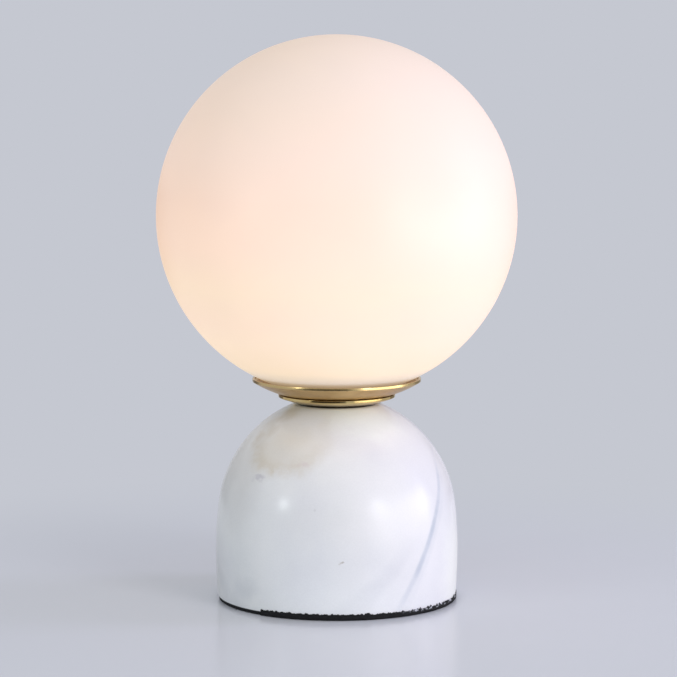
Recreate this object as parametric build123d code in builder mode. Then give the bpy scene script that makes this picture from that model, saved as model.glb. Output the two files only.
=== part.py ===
# Glass globe table lamp: an opal glass ball on a turned brass cup and disc, over a domed marble base.
# Millimetres. +Z is up, the lamp stands on z = 0 with its axis on the origin, and its front faces -Y.
import os
from math import cos, hypot, radians, sqrt

from build123d import *

os.makedirs("parts", exist_ok=True)

# ---------------------------------------------------------------- driving dimensions

# glass globe
globe_radius = 100.0
globe_wall = 3.0
mouth_radius = 29.0
lip_width = 2.2
lip_chamfer = 0.4

# marble base
marble_height = 107.4
foot_radius = 66.8
foot_arris = 0.8
bulge_radius = 67.75
bulge_height = 29.0
haunch_radius = 200.0
haunch_turn = 7.3
seat_radius = 24.0
tube_hole_radius = 5.8
recess_radius = 32.0
recess_depth = 32.0
rebate_radius = 36.0

# foam pad and cover plate under the base
pad_thickness = 2.0
plate_thickness = 1.5
plate_clearance = 0.3

# cord inlet at the back of the base
inlet_height = 14.0
inlet_hole_radius = 6.0
inlet_bore_radius = 3.25
inlet_sleeve_length = 9.0
inlet_flange_radius = 8.0
inlet_flange_thickness = 1.6
inlet_seat_depth = 2.8
inlet_clearance = 0.1

# brass disc and its gasket on top of the marble
gasket_thickness = 0.5
gasket_inset = 0.8
disc_radius = 32.7
disc_height = 5.1
disc_edge = 1.4
disc_foot_radius = 22.6
disc_chamfer = 0.35

# brass cup round the bottom of the globe
cup_floor_radius = 31.0
cup_radius = 47.0
rim_gap = 1.36
cup_wall = 1.2
cup_rim_height = 1.6
cup_rim_width = 1.5
cup_bow = 0.55
cup_rim_round = 0.3

# threaded boss that the globe screws on to
boss_radius = 25.7
boss_wall = 2.2
boss_height = 9.8
boss_floor = 2.0
boss_flange_radius = 29.3
boss_flange_thickness = 1.0
edge_chamfer = 0.5

# screws through the boss and the cup into the disc
boss_screw_count = 3
boss_screw_angle = 90.0
boss_screw_radius = 1.5
boss_screw_head_radius = 2.8
boss_screw_head_height = 1.8
boss_screw_bite = 3.3
boss_screw_spare = 0.4

# ring glued into the mouth of the globe
thread_clearance = 0.3
collar_sleeve_wall = 2.2
collar_height = 9.8
collar_flange_radius = 31.0
collar_flange_thickness = 1.6
seal_thickness = 0.4
seal_rise = 2.2
glue_clearance = 0.05

# threaded tube, nuts and washers that clamp the stack
tube_radius = 5.0
tube_bore_radius = 3.9
tube_end_length = 1.2
tube_chamfer = 0.4
nut_across_flats = 14.0
nut_height = 3.0
nut_clearance = 0.08
washer_bore_clearance = 0.25
fender_washer_radius = 17.0
fender_washer_thickness = 2.0
tooth_washer_clearance = 0.3
tooth_washer_thickness = 0.8
tooth_count = 12
tooth_depth = 1.6
tooth_width = 1.5

# plastic bushes in the two ends of the tube
bush_wall = 0.8
bush_depth = 4.0
bush_flange = 1.0
bush_clearance = 0.05

# lampholder: steel bracket, ceramic body, brass contacts
bracket_thickness = 1.0
bracket_width = 12.0
bracket_bend = 1.2
bracket_corner = 4.0
holder_width = 19.0
holder_depth = 13.0
holder_height = 18.0
holder_lift = 6.0
holder_corner = 2.5
bracket_clearance = 4.0
pin_spacing = 9.0
pin_slot_width = 3.6
pin_slot_depth = 2.6
pin_slot_length = 14.5
contact_thickness = 0.3
contact_width = 2.4
contact_gap = 0.3
contact_length = 11.0
contact_tail = 1.6
side_screw_radius = 1.5
side_screw_length = 3.6
side_screw_head_radius = 2.8
side_screw_head_height = 1.8
side_screw_height = 6.0
screw_clearance = 0.15

# bulb
pin_width = 2.8
pin_thickness = 1.0
pin_length = 13.0
pin_eye = 0.9
stub_width = 13.0
stub_depth = 8.0
stub_height = 4.0
stub_corner = 2.0
bulb_radius = 8.0
bulb_base_height = 11.0
capsule_height = 37.0
capsule_wall = 1.0
board_width = 9.0
board_thickness = 1.2
board_height = 27.0
chip_size = 2.0
chip_thickness = 0.7
chip_rows = 6
chip_pitch = 4.0

# leads and terminal block in the recess
lead_radius = 1.0
lead_offset = 1.3
lead_hole_radius = 1.35
lead_bend = 4.0
lead_straight = 1.0
block_width = 18.0
block_depth = 15.0
block_height = 7.0
block_corner = 1.0
block_front = 8.0
tower_radius = 2.7
tower_height = 5.0
pole_spacing = 9.0
pole_height = 5.0
insert_radius = 2.2
insert_wall = 0.75
insert_length = 13.0
grub_radius = 1.25
grub_length = 4.0
grub_spacing = 8.6
grub_slot = 0.5
block_screw_radius = 1.5
block_screw_head_radius = 2.8
block_screw_spare = 1.0
block_nut_across_flats = 5.5
block_nut_height = 2.4

# ---------------------------------------------------------------- heights, from the table up

pad_radius = foot_radius - foot_arris
marble_bottom = pad_thickness
marble_top = marble_bottom + marble_height
recess_ceiling = marble_bottom + recess_depth
plate_top = marble_bottom + plate_thickness
disc_bottom = marble_top + gasket_thickness
disc_top = disc_bottom + disc_height
cup_floor_top = disc_top + cup_wall
boss_shoulder = cup_floor_top + boss_flange_thickness
boss_floor_top = cup_floor_top + boss_floor
collar_flange_top = boss_shoulder + collar_flange_thickness
lip_height = collar_flange_top + seal_thickness
lip_radius = mouth_radius + lip_width
globe_center = lip_height + sqrt(globe_radius**2 - lip_radius**2)
globe_inner_radius = globe_radius - globe_wall
mouth_top = globe_center - sqrt(globe_inner_radius**2 - mouth_radius**2)
rim_inner = cup_radius - cup_rim_width
cup_top = globe_center - sqrt(globe_radius**2 - rim_inner**2) - rim_gap

bracket_top = cup_floor_top + bracket_thickness
upper_nut_bottom = bracket_top + tooth_washer_thickness
upper_nut_top = upper_nut_bottom + nut_height
tube_top = upper_nut_top + tube_end_length
lower_washer_bottom = recess_ceiling - fender_washer_thickness
lower_nut_top = lower_washer_bottom - tooth_washer_thickness
lower_nut_bottom = lower_nut_top - nut_height
tube_bottom = lower_nut_bottom - tube_end_length

holder_bottom = tube_top + bush_flange + holder_lift
holder_top = holder_bottom + holder_height
slot_bottom = holder_top - pin_slot_length
capsule_bottom = holder_top + bulb_base_height
capsule_top = capsule_bottom + capsule_height

washer_bore_radius = tube_radius + washer_bore_clearance
tooth_washer_radius = holder_width / 2 - bracket_bend - tooth_washer_clearance
leg_outer = holder_width / 2 + bracket_thickness
boss_opening_radius = hypot(leg_outer, bracket_width / 2) + bracket_clearance
boss_screw_circle = (boss_opening_radius + boss_radius - boss_wall) / 2
pole_z = plate_top + pole_height
block_top = plate_top + block_height
block_middle = block_front + block_depth / 2


# ---------------------------------------------------------------- foam pad and cover plate

with BuildPart() as base_pad:
    with BuildSketch():
        Circle(pad_radius)
    extrude(amount=pad_thickness)
base_pad.part.label = "base_pad"
export_step(base_pad.part, "parts/base_pad.step")

# Steel disc let into the rebate, so that the pad lies flat over it. One countersunk hole takes the
# screw that holds the terminal block.
with BuildPart() as bottom_plate:
    with BuildSketch(Plane.XY.offset(marble_bottom)):
        Circle(rebate_radius - plate_clearance)
    extrude(amount=plate_thickness)
    with Locations(Plane(origin=(0, block_middle, marble_bottom), z_dir=(0, 0, -1))):
        CounterSinkHole(
            radius=block_screw_radius + screw_clearance,
            counter_sink_radius=block_screw_head_radius + screw_clearance,
        )
bottom_plate.part.label = "bottom_plate"
export_step(bottom_plate.part, "parts/bottom_plate.step")


# ---------------------------------------------------------------- marble base

# The outline rises from an eased foot, swells a little, then closes over in a dome that is cut off
# flat for the brass disc.
with BuildPart() as marble_base:
    with BuildSketch(Plane.XZ):
        with BuildLine():
            bulge = (bulge_radius, bulge_height)
            arris_top = (foot_radius, marble_bottom + foot_arris)
            arris_bottom = (foot_radius - foot_arris, marble_bottom)
            seat_edge = (seat_radius, marble_top)
            side = TangentArc(bulge, arris_top, tangent=(0, -1))
            arris = TangentArc(arris_top, arris_bottom, tangent=side % 1)
            Line(arris @ 1, (0, marble_bottom))
            Line((0, marble_bottom), (0, marble_top))
            Line((0, marble_top), seat_edge)
            haunch = JernArc(start=bulge, tangent=(0, 1), radius=haunch_radius, arc_size=haunch_turn)
            TangentArc(haunch @ 1, seat_edge, tangent=haunch % 1)
        make_face()
    revolve(axis=Axis.Z)
    # wiring recess, rebate for the cover plate, and the hole up the middle for the tube
    with BuildSketch(Plane.XY.offset(marble_bottom)):
        Circle(recess_radius)
    extrude(amount=recess_depth, mode=Mode.SUBTRACT)
    with BuildSketch(Plane.XY.offset(marble_bottom)):
        Circle(rebate_radius)
    extrude(amount=plate_thickness, mode=Mode.SUBTRACT)
    with BuildSketch(Plane.XY.offset(marble_bottom)):
        Circle(tube_hole_radius)
    extrude(amount=marble_height, mode=Mode.SUBTRACT)
    # cord inlet, drilled from the back with a flat seat for the flange of its bush
    inlet_seat = bulge_radius - inlet_seat_depth
    with BuildSketch(Plane.XZ.offset(-bulge_radius)):
        with Locations((0, inlet_height)):
            Circle(inlet_hole_radius)
    extrude(amount=bulge_radius, mode=Mode.SUBTRACT)
    with BuildSketch(Plane.XZ.offset(-bulge_radius)):
        with Locations((0, inlet_height)):
            Circle(inlet_flange_radius + inlet_clearance)
    extrude(amount=inlet_seat_depth, mode=Mode.SUBTRACT)
marble_base.part.label = "marble_base"
export_step(marble_base.part, "parts/marble_base.step")

# Flanged bush pressed into the cord inlet. Its bore is where a cord goes in.
with BuildPart() as cord_bush:
    with BuildSketch(Plane.XZ.offset(-inlet_seat)):
        with Locations((0, inlet_height)):
            Circle(inlet_flange_radius)
    extrude(amount=-inlet_flange_thickness)
    with BuildSketch(Plane.XZ.offset(-inlet_seat)):
        with Locations((0, inlet_height)):
            Circle(inlet_hole_radius - inlet_clearance)
    extrude(amount=inlet_sleeve_length)
    with BuildSketch(Plane.XZ.offset(-inlet_seat - inlet_flange_thickness)):
        with Locations((0, inlet_height)):
            Circle(inlet_bore_radius)
    extrude(amount=inlet_sleeve_length + inlet_flange_thickness, mode=Mode.SUBTRACT)
cord_bush.part.label = "cord_bush"
export_step(cord_bush.part, "parts/cord_bush.step")


# ---------------------------------------------------------------- brass disc and cup

with BuildPart() as disc_gasket:
    with BuildSketch(Plane.XY.offset(marble_top)):
        Circle(disc_foot_radius - gasket_inset)
        Circle(tube_hole_radius, mode=Mode.SUBTRACT)
    extrude(amount=gasket_thickness)
disc_gasket.part.label = "disc_gasket"
export_step(disc_gasket.part, "parts/disc_gasket.step")

# Turned disc: a short flared foot under a narrow upright edge, with three blind holes for the screws
# that hold the cup and the boss to it.
with BuildPart() as base_disc:
    with BuildSketch(Plane.XZ):
        with BuildLine():
            edge_bottom = disc_top - disc_edge
            Polyline(
                (washer_bore_radius, disc_bottom),
                (disc_foot_radius, disc_bottom),
                (disc_radius - disc_chamfer, edge_bottom - disc_chamfer),
                (disc_radius, edge_bottom),
                (disc_radius, disc_top),
                (washer_bore_radius, disc_top),
                close=True,
            )
        make_face()
    revolve(axis=Axis.Z)
    with BuildSketch(Plane.XY.offset(disc_top)):
        with PolarLocations(boss_screw_circle, boss_screw_count, start_angle=boss_screw_angle):
            Circle(boss_screw_radius + nut_clearance)
    extrude(amount=-boss_screw_bite - boss_screw_spare, mode=Mode.SUBTRACT)
    chamfer(base_disc.edges().group_by(Axis.Z)[-1].sort_by(SortBy.RADIUS)[-1], length=disc_chamfer / 2)
base_disc.part.label = "base_disc"
export_step(base_disc.part, "parts/base_disc.step")

# Spun dish with a bowed side and a thick upright rim that stands just clear of the glass.
with BuildPart() as brass_cup:
    with BuildSketch(Plane.XZ):
        with BuildLine():
            rim_bottom = cup_top - cup_rim_height
            side_run = cup_radius - cup_floor_radius
            side_rise = rim_bottom - disc_top
            side_length = hypot(side_run, side_rise)
            wall_rise = cup_wall * side_length / side_run
            bow_r = cup_floor_radius + side_run / 2 + cup_bow * side_rise / side_length
            bow_z = disc_top + side_rise / 2 - cup_bow * side_run / side_length
            Line((washer_bore_radius, disc_top), (cup_floor_radius, disc_top))
            ThreePointArc((cup_floor_radius, disc_top), (bow_r, bow_z), (cup_radius, rim_bottom))
            Line((cup_radius, rim_bottom), (cup_radius, cup_top))
            Line((cup_radius, cup_top), (rim_inner, cup_top))
            inner_top = rim_bottom + wall_rise - cup_rim_width * side_rise / side_run
            inner_floor_radius = cup_floor_radius + (cup_wall - wall_rise) * side_run / side_rise
            Line((rim_inner, cup_top), (rim_inner, inner_top))
            inner_bow = (bow_r, bow_z + wall_rise)
            ThreePointArc((rim_inner, inner_top), inner_bow, (inner_floor_radius, cup_floor_top))
            Line((inner_floor_radius, cup_floor_top), (washer_bore_radius, cup_floor_top))
            Line((washer_bore_radius, cup_floor_top), (washer_bore_radius, disc_top))
        make_face()
    revolve(axis=Axis.Z)
    rim_edges = brass_cup.edges().group_by(Axis.Z)[-1]
    fillet(rim_edges, radius=cup_rim_round)
    with BuildSketch(Plane.XY.offset(disc_top)):
        with PolarLocations(boss_screw_circle, boss_screw_count, start_angle=boss_screw_angle):
            Circle(boss_screw_radius + screw_clearance)
    extrude(amount=cup_wall, mode=Mode.SUBTRACT)
brass_cup.part.label = "brass_cup"
export_step(brass_cup.part, "parts/brass_cup.step")

# Ring on the floor of the cup. Its outside carries the thread for the globe's collar, and its inner
# flange takes the three screws.
with BuildPart() as globe_boss:
    with BuildSketch(Plane.XY.offset(cup_floor_top)):
        Circle(boss_flange_radius)
    extrude(amount=boss_flange_thickness)
    with BuildSketch(Plane.XY.offset(cup_floor_top)):
        Circle(boss_radius)
    extrude(amount=boss_height)
    chamfer(globe_boss.edges().group_by(Axis.Z)[-1], length=edge_chamfer)
    with BuildSketch(Plane.XY.offset(boss_floor_top)):
        Circle(boss_radius - boss_wall)
    extrude(amount=boss_height, mode=Mode.SUBTRACT)
    with BuildSketch(Plane.XY.offset(cup_floor_top)):
        Circle(boss_opening_radius)
        with PolarLocations(boss_screw_circle, boss_screw_count, start_angle=boss_screw_angle):
            Circle(boss_screw_radius + screw_clearance)
    extrude(amount=boss_floor, mode=Mode.SUBTRACT)
globe_boss.part.label = "globe_boss"
export_step(globe_boss.part, "parts/globe_boss.step")

with BuildPart() as boss_screws:
    with BuildSketch(Plane.XY.offset(disc_top - boss_screw_bite)):
        with PolarLocations(boss_screw_circle, boss_screw_count, start_angle=boss_screw_angle):
            Circle(boss_screw_radius)
    extrude(amount=boss_floor_top - disc_top + boss_screw_bite)
    with BuildSketch(Plane.XY.offset(boss_floor_top)):
        with PolarLocations(boss_screw_circle, boss_screw_count, start_angle=boss_screw_angle):
            Circle(boss_screw_head_radius)
    extrude(amount=boss_screw_head_height)
boss_screws.part.label = "boss_screws"
export_step(boss_screws.part, "parts/boss_screws.step")


# ---------------------------------------------------------------- threaded tube and its clamping stack

with BuildPart() as threaded_tube:
    with BuildSketch(Plane.XY.offset(tube_bottom)):
        Circle(tube_radius)
    extrude(amount=tube_top - tube_bottom)
    chamfer(threaded_tube.edges(), length=tube_chamfer)
    with BuildSketch(Plane.XY.offset(tube_bottom)):
        Circle(tube_bore_radius)
    extrude(amount=tube_top - tube_bottom, mode=Mode.SUBTRACT)
threaded_tube.part.label = "threaded_tube"
export_step(threaded_tube.part, "parts/threaded_tube.step")

with BuildPart() as fender_washer:
    with BuildSketch(Plane.XY.offset(lower_washer_bottom)):
        Circle(fender_washer_radius)
        Circle(washer_bore_radius, mode=Mode.SUBTRACT)
    extrude(amount=fender_washer_thickness)
fender_washer.part.label = "fender_washer"
export_step(fender_washer.part, "parts/fender_washer.step")

# Toothed lock washers: one under the recess washer, one on the lampholder bracket.
lock_washers = (("lower_tooth_washer", lower_nut_top), ("upper_tooth_washer", bracket_top))
for washer_name, washer_bottom in lock_washers:
    with BuildPart() as tooth_washer:
        with BuildSketch(Plane.XY.offset(washer_bottom)):
            Circle(tooth_washer_radius - tooth_depth)
            with PolarLocations(tooth_washer_radius - tooth_depth, tooth_count):
                Rectangle(2 * tooth_depth, tooth_width)
            Circle(washer_bore_radius, mode=Mode.SUBTRACT)
        extrude(amount=tooth_washer_thickness)
    tooth_washer.part.label = washer_name
    export_step(tooth_washer.part, f"parts/{washer_name}.step")

# Thin hexagon nuts with turned corners.
nut_corner_radius = nut_across_flats / 2 / cos(radians(30))
corner_cut = nut_corner_radius - nut_across_flats / 2
corner_fall = corner_cut / sqrt(3)
for nut_name, nut_bottom in (("lower_nut", lower_nut_bottom), ("upper_nut", upper_nut_bottom)):
    with BuildPart() as hex_nut:
        with BuildSketch(Plane.XY.offset(nut_bottom)):
            RegularPolygon(radius=nut_corner_radius, side_count=6)
            Circle(tube_radius + nut_clearance, mode=Mode.SUBTRACT)
        extrude(amount=nut_height)
        with BuildSketch(Plane.XZ):
            with BuildLine():
                nut_top = nut_bottom + nut_height
                Polyline(
                    (0, nut_bottom),
                    (nut_across_flats / 2, nut_bottom),
                    (nut_corner_radius, nut_bottom + corner_fall),
                    (nut_corner_radius, nut_top - corner_fall),
                    (nut_across_flats / 2, nut_top),
                    (0, nut_top),
                    close=True,
                )
            make_face()
        revolve(axis=Axis.Z, mode=Mode.INTERSECT)
    hex_nut.part.label = nut_name
    export_step(hex_nut.part, f"parts/{nut_name}.step")

# Plastic bushes that keep the leads off the cut ends of the tube.
bush_sleeve_radius = tube_bore_radius - bush_clearance
bush_bore_radius = bush_sleeve_radius - bush_wall
for bush_name, tube_end, inward in (("lower_bush", tube_bottom, 1), ("upper_bush", tube_top, -1)):
    with BuildPart() as tube_bush:
        with BuildSketch(Plane.XY.offset(tube_end)):
            Circle(bush_sleeve_radius)
        extrude(amount=inward * bush_depth)
        with BuildSketch(Plane.XY.offset(tube_end)):
            Circle(tube_radius)
        extrude(amount=-inward * bush_flange)
        with BuildSketch(Plane.XY.offset(tube_end - inward * bush_flange)):
            Circle(bush_bore_radius)
        extrude(amount=inward * (bush_depth + bush_flange), mode=Mode.SUBTRACT)
    tube_bush.part.label = bush_name
    export_step(tube_bush.part, f"parts/{bush_name}.step")


# ---------------------------------------------------------------- lampholder

side_screw_z = holder_bottom + side_screw_height
leg_top = side_screw_z + bracket_width / 2

# Folded U strip: the foot is clamped under the upper nut and the legs hold the ceramic.
with BuildPart() as holder_bracket:
    with BuildSketch(Plane.XZ):
        with Locations((0, (cup_floor_top + leg_top) / 2)):
            Rectangle(2 * leg_outer, leg_top - cup_floor_top)
    extrude(amount=bracket_width / 2, both=True)
    bends = holder_bracket.edges().filter_by(Axis.Y).group_by(Axis.Z)[0]
    fillet(bends, radius=bracket_bend + bracket_thickness)
    with BuildSketch(Plane.XZ):
        with Locations((0, (bracket_top + leg_top) / 2)):
            Rectangle(holder_width, leg_top - bracket_top)
        fillet(vertices().group_by(Axis.Y)[0], radius=bracket_bend)
    extrude(amount=bracket_width / 2, both=True, mode=Mode.SUBTRACT)
    leg_corners = holder_bracket.edges().filter_by(Axis.X).group_by(Axis.Z)[-1]
    fillet(leg_corners, radius=bracket_corner)
    with BuildSketch(Plane.XY.offset(cup_floor_top)):
        Circle(washer_bore_radius)
    extrude(amount=bracket_thickness, mode=Mode.SUBTRACT)
    with BuildSketch(Plane.YZ.offset(-leg_outer)):
        with Locations((0, side_screw_z)):
            Circle(side_screw_radius + screw_clearance)
    extrude(amount=2 * leg_outer, mode=Mode.SUBTRACT)
holder_bracket.part.label = "holder_bracket"
export_step(holder_bracket.part, "parts/holder_bracket.step")

# Glazed ceramic block with a slot for each pin of the bulb and a hole below it for the lead.
with BuildPart() as lampholder:
    with BuildSketch(Plane.XY.offset(holder_bottom)):
        RectangleRounded(holder_width, holder_depth, holder_corner)
    extrude(amount=holder_height)
    chamfer(lampholder.edges().group_by(Axis.Z)[-1], length=edge_chamfer)
    with BuildSketch(Plane.XY.offset(slot_bottom)):
        with GridLocations(pin_spacing, 0, 2, 1):
            Rectangle(pin_slot_width, pin_slot_depth)
    extrude(amount=pin_slot_length, mode=Mode.SUBTRACT)
    with BuildSketch(Plane.XY.offset(holder_bottom)):
        with GridLocations(pin_spacing, 0, 2, 1):
            Circle(lead_hole_radius)
    extrude(amount=slot_bottom - holder_bottom, mode=Mode.SUBTRACT)
    for side in (-1, 1):
        with BuildSketch(Plane.YZ.offset(side * holder_width / 2)):
            with Locations((0, side_screw_z)):
                Circle(side_screw_radius + nut_clearance)
        extrude(amount=-side * (side_screw_length - bracket_thickness), mode=Mode.SUBTRACT)
lampholder.part.label = "lampholder"
export_step(lampholder.part, "parts/lampholder.step")

# Folded spring clips, one in each slot, with a tail down to the lead.
contact_bottom = slot_bottom
leaf_inner = pin_thickness / 2 + contact_gap
leaf_outer = leaf_inner + contact_thickness
with BuildPart() as holder_contacts:
    with BuildSketch(Plane.YZ):
        with Locations((0, contact_bottom + contact_length / 2)):
            Rectangle(2 * leaf_outer, contact_length)
        with Locations((0, contact_bottom + contact_thickness + contact_length / 2)):
            Rectangle(2 * leaf_inner, contact_length, mode=Mode.SUBTRACT)
        with Locations((0, contact_bottom - contact_tail / 2)):
            Rectangle(contact_thickness, contact_tail)
    clip = extrude(amount=contact_width / 2, both=True, mode=Mode.PRIVATE)
    with GridLocations(pin_spacing, 0, 2, 1):
        add(clip)
holder_contacts.part.label = "holder_contacts"
export_step(holder_contacts.part, "parts/holder_contacts.step")

# Pan-head screws through the legs of the bracket into the ceramic.
with BuildPart() as holder_screws:
    for side in (-1, 1):
        with BuildSketch(Plane.YZ.offset(side * leg_outer)):
            with Locations((0, side_screw_z)):
                Circle(side_screw_radius)
        extrude(amount=-side * side_screw_length)
        with BuildSketch(Plane.YZ.offset(side * leg_outer)):
            with Locations((0, side_screw_z)):
                Circle(side_screw_head_radius)
        extrude(amount=side * side_screw_head_height)
holder_screws.part.label = "holder_screws"
export_step(holder_screws.part, "parts/holder_screws.step")


# ---------------------------------------------------------------- terminal block on the cover plate

fixing_screw_top = block_top + block_nut_height + block_screw_spare

# Two-pole block: a low body with two towers over each pole for the clamping screws.
with BuildPart() as terminal_block:
    with BuildSketch(Plane.XY.offset(plate_top)):
        with Locations((0, block_middle)):
            RectangleRounded(block_width, block_depth, block_corner)
    extrude(amount=block_height)
    with BuildSketch(Plane.XY.offset(plate_top)):
        with Locations((0, block_middle)):
            with GridLocations(pole_spacing, grub_spacing, 2, 2):
                Circle(tower_radius)
    extrude(amount=block_height + tower_height)
    with BuildSketch(Plane.XY.offset(pole_z)):
        with Locations((0, block_middle)):
            with GridLocations(pole_spacing, grub_spacing, 2, 2):
                Circle(grub_radius + nut_clearance)
    extrude(amount=block_height + tower_height, mode=Mode.SUBTRACT)
    with BuildSketch(Plane.XZ.offset(-block_front)):
        with Locations((0, pole_z)):
            with GridLocations(pole_spacing, 0, 2, 1):
                Circle(insert_radius + bush_clearance)
    extrude(amount=-block_depth, mode=Mode.SUBTRACT)
    with BuildSketch(Plane.XY.offset(plate_top)):
        with Locations((0, block_middle)):
            Circle(block_screw_radius + screw_clearance)
    extrude(amount=block_height, mode=Mode.SUBTRACT)
terminal_block.part.label = "terminal_block"
export_step(terminal_block.part, "parts/terminal_block.step")

with BuildPart() as terminal_inserts:
    with BuildSketch(Plane.XZ.offset(-block_middle)):
        with Locations((0, pole_z)):
            with GridLocations(pole_spacing, 0, 2, 1):
                Circle(insert_radius)
                Circle(insert_radius - insert_wall, mode=Mode.SUBTRACT)
    extrude(amount=insert_length / 2, both=True)
    with BuildSketch(Plane.XY.offset(pole_z)):
        with Locations((0, block_middle)):
            with GridLocations(pole_spacing, grub_spacing, 2, 2):
                Circle(grub_radius + nut_clearance)
    extrude(amount=insert_radius, mode=Mode.SUBTRACT)
terminal_inserts.part.label = "terminal_inserts"
export_step(terminal_inserts.part, "parts/terminal_inserts.step")

# Slotted grub screws that clamp the leads.
grub_bottom = pole_z + lead_radius + screw_clearance
with BuildPart() as terminal_screws:
    with BuildSketch(Plane.XY.offset(grub_bottom)):
        with Locations((0, block_middle)):
            with GridLocations(pole_spacing, grub_spacing, 2, 2):
                Circle(grub_radius)
    extrude(amount=grub_length)
    with BuildSketch(Plane.XY.offset(grub_bottom + grub_length - grub_slot)):
        with Locations((0, block_middle)):
            with GridLocations(pole_spacing, grub_spacing, 2, 2):
                Rectangle(2 * grub_radius, grub_slot)
    extrude(amount=grub_slot, mode=Mode.SUBTRACT)
terminal_screws.part.label = "terminal_screws"
export_step(terminal_screws.part, "parts/terminal_screws.step")

# Countersunk screw up through the cover plate and the block, with its nut on top.
head_height = block_screw_head_radius - block_screw_radius
with BuildPart() as block_screw:
    with BuildSketch(Plane.XY.offset(marble_bottom)):
        with Locations((0, block_middle)):
            Circle(block_screw_radius)
    extrude(amount=fixing_screw_top - marble_bottom)
    with Locations((0, block_middle, marble_bottom)):
        Cone(
            bottom_radius=block_screw_head_radius,
            top_radius=block_screw_radius,
            height=head_height,
            align=(Align.CENTER, Align.CENTER, Align.MIN),
        )
block_screw.part.label = "block_screw"
export_step(block_screw.part, "parts/block_screw.step")

with BuildPart() as block_nut:
    with BuildSketch(Plane.XY.offset(block_top)):
        with Locations((0, block_middle)):
            RegularPolygon(radius=block_nut_across_flats / 2 / cos(radians(30)), side_count=6)
            Circle(block_screw_radius + nut_clearance, mode=Mode.SUBTRACT)
    extrude(amount=block_nut_height)
block_nut.part.label = "block_nut"
export_step(block_nut.part, "parts/block_nut.step")


# ---------------------------------------------------------------- leads, from the contacts down the tube

contact_foot = contact_bottom - contact_tail
for lead_name, side in (("live_lead", 1), ("neutral_lead", -1)):
    with BuildPart() as lead:
        with BuildLine() as route:
            FilletPolyline(
                (side * pin_spacing / 2, 0, contact_foot),
                (side * pin_spacing / 2, 0, holder_bottom - lead_straight),
                (side * lead_offset, 0, tube_top + lead_straight),
                (side * lead_offset, 0, tube_bottom - bush_flange),
                (side * pole_spacing / 2, 0, pole_z),
                (side * pole_spacing / 2, block_front + insert_length / 2, pole_z),
                radius=lead_bend,
            )
        with BuildSketch(Plane(origin=route.line @ 0, z_dir=route.line % 0)):
            Circle(lead_radius)
        sweep()
    lead.part.label = lead_name
    export_step(lead.part, f"parts/{lead_name}.step")


# ---------------------------------------------------------------- globe, with its glued collar

# Blown ball with its mouth ground flat.
with BuildPart() as glass_globe:
    with BuildSketch(Plane.XZ):
        with BuildLine():
            outer = CenterArc((0, globe_center), globe_radius, -90, 180)
            Line(outer @ 0, outer @ 1)
        make_face()
        with BuildLine():
            inner = CenterArc((0, globe_center), globe_inner_radius, -90, 180)
            Line(inner @ 0, inner @ 1)
        make_face(mode=Mode.SUBTRACT)
        with Locations((0, lip_height)):
            Rectangle(2 * globe_radius, globe_radius, align=(Align.CENTER, Align.MAX), mode=Mode.SUBTRACT)
        with Locations((0, lip_height)):
            mouth_rise = mouth_top - lip_height
            Rectangle(2 * mouth_radius, mouth_rise, align=(Align.CENTER, Align.MIN), mode=Mode.SUBTRACT)
    revolve(axis=Axis.Z)
    lip_edges = glass_globe.edges().group_by(Axis.Z)[0]
    chamfer(lip_edges, length=lip_chamfer)
glass_globe.part.label = "glass_globe"
export_step(glass_globe.part, "parts/glass_globe.step")

collar_bore = boss_radius + thread_clearance
collar_sleeve_radius = collar_bore + collar_sleeve_wall
with BuildPart() as globe_collar:
    with BuildSketch(Plane.XY.offset(boss_shoulder)):
        Circle(collar_sleeve_radius)
    extrude(amount=collar_height)
    chamfer(globe_collar.edges().group_by(Axis.Z)[-1], length=edge_chamfer)
    with BuildSketch(Plane.XY.offset(boss_shoulder)):
        Circle(collar_flange_radius)
    extrude(amount=collar_flange_thickness)
    with BuildSketch(Plane.XY.offset(boss_shoulder)):
        Circle(collar_bore)
    extrude(amount=collar_height, mode=Mode.SUBTRACT)
globe_collar.part.label = "globe_collar"
export_step(globe_collar.part, "parts/globe_collar.step")

# Cured silicone between the collar and the glass: a flat ring under the lip and a film up the mouth.
with BuildPart() as collar_seal:
    with BuildSketch(Plane.XY.offset(collar_flange_top)):
        Circle(collar_flange_radius - lip_chamfer)
    extrude(amount=seal_thickness)
    with BuildSketch(Plane.XY.offset(collar_flange_top)):
        Circle(mouth_radius - glue_clearance)
    extrude(amount=seal_thickness + seal_rise)
    with BuildSketch(Plane.XY.offset(collar_flange_top)):
        Circle(collar_sleeve_radius + glue_clearance)
    extrude(amount=seal_thickness + seal_rise, mode=Mode.SUBTRACT)
collar_seal.part.label = "collar_seal"
export_step(collar_seal.part, "parts/collar_seal.step")


# ---------------------------------------------------------------- bulb, which pulls up out of its holder

# Moulded base: an oblong stub on the holder that opens out to the round of the capsule.
with BuildPart() as bulb_base:
    with BuildSketch(Plane.XY.offset(holder_top)):
        RectangleRounded(stub_width, stub_depth, stub_corner)
    extrude(amount=stub_height)
    with BuildSketch(Plane.XY.offset(holder_top + stub_height)):
        Circle(bulb_radius)
    extrude(amount=bulb_base_height - stub_height)
    chamfer(bulb_base.edges().filter_by(GeomType.CIRCLE).group_by(Axis.Z)[1], length=edge_chamfer)
bulb_base.part.label = "bulb_base"
export_step(bulb_base.part, "parts/bulb_base.step")

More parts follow.
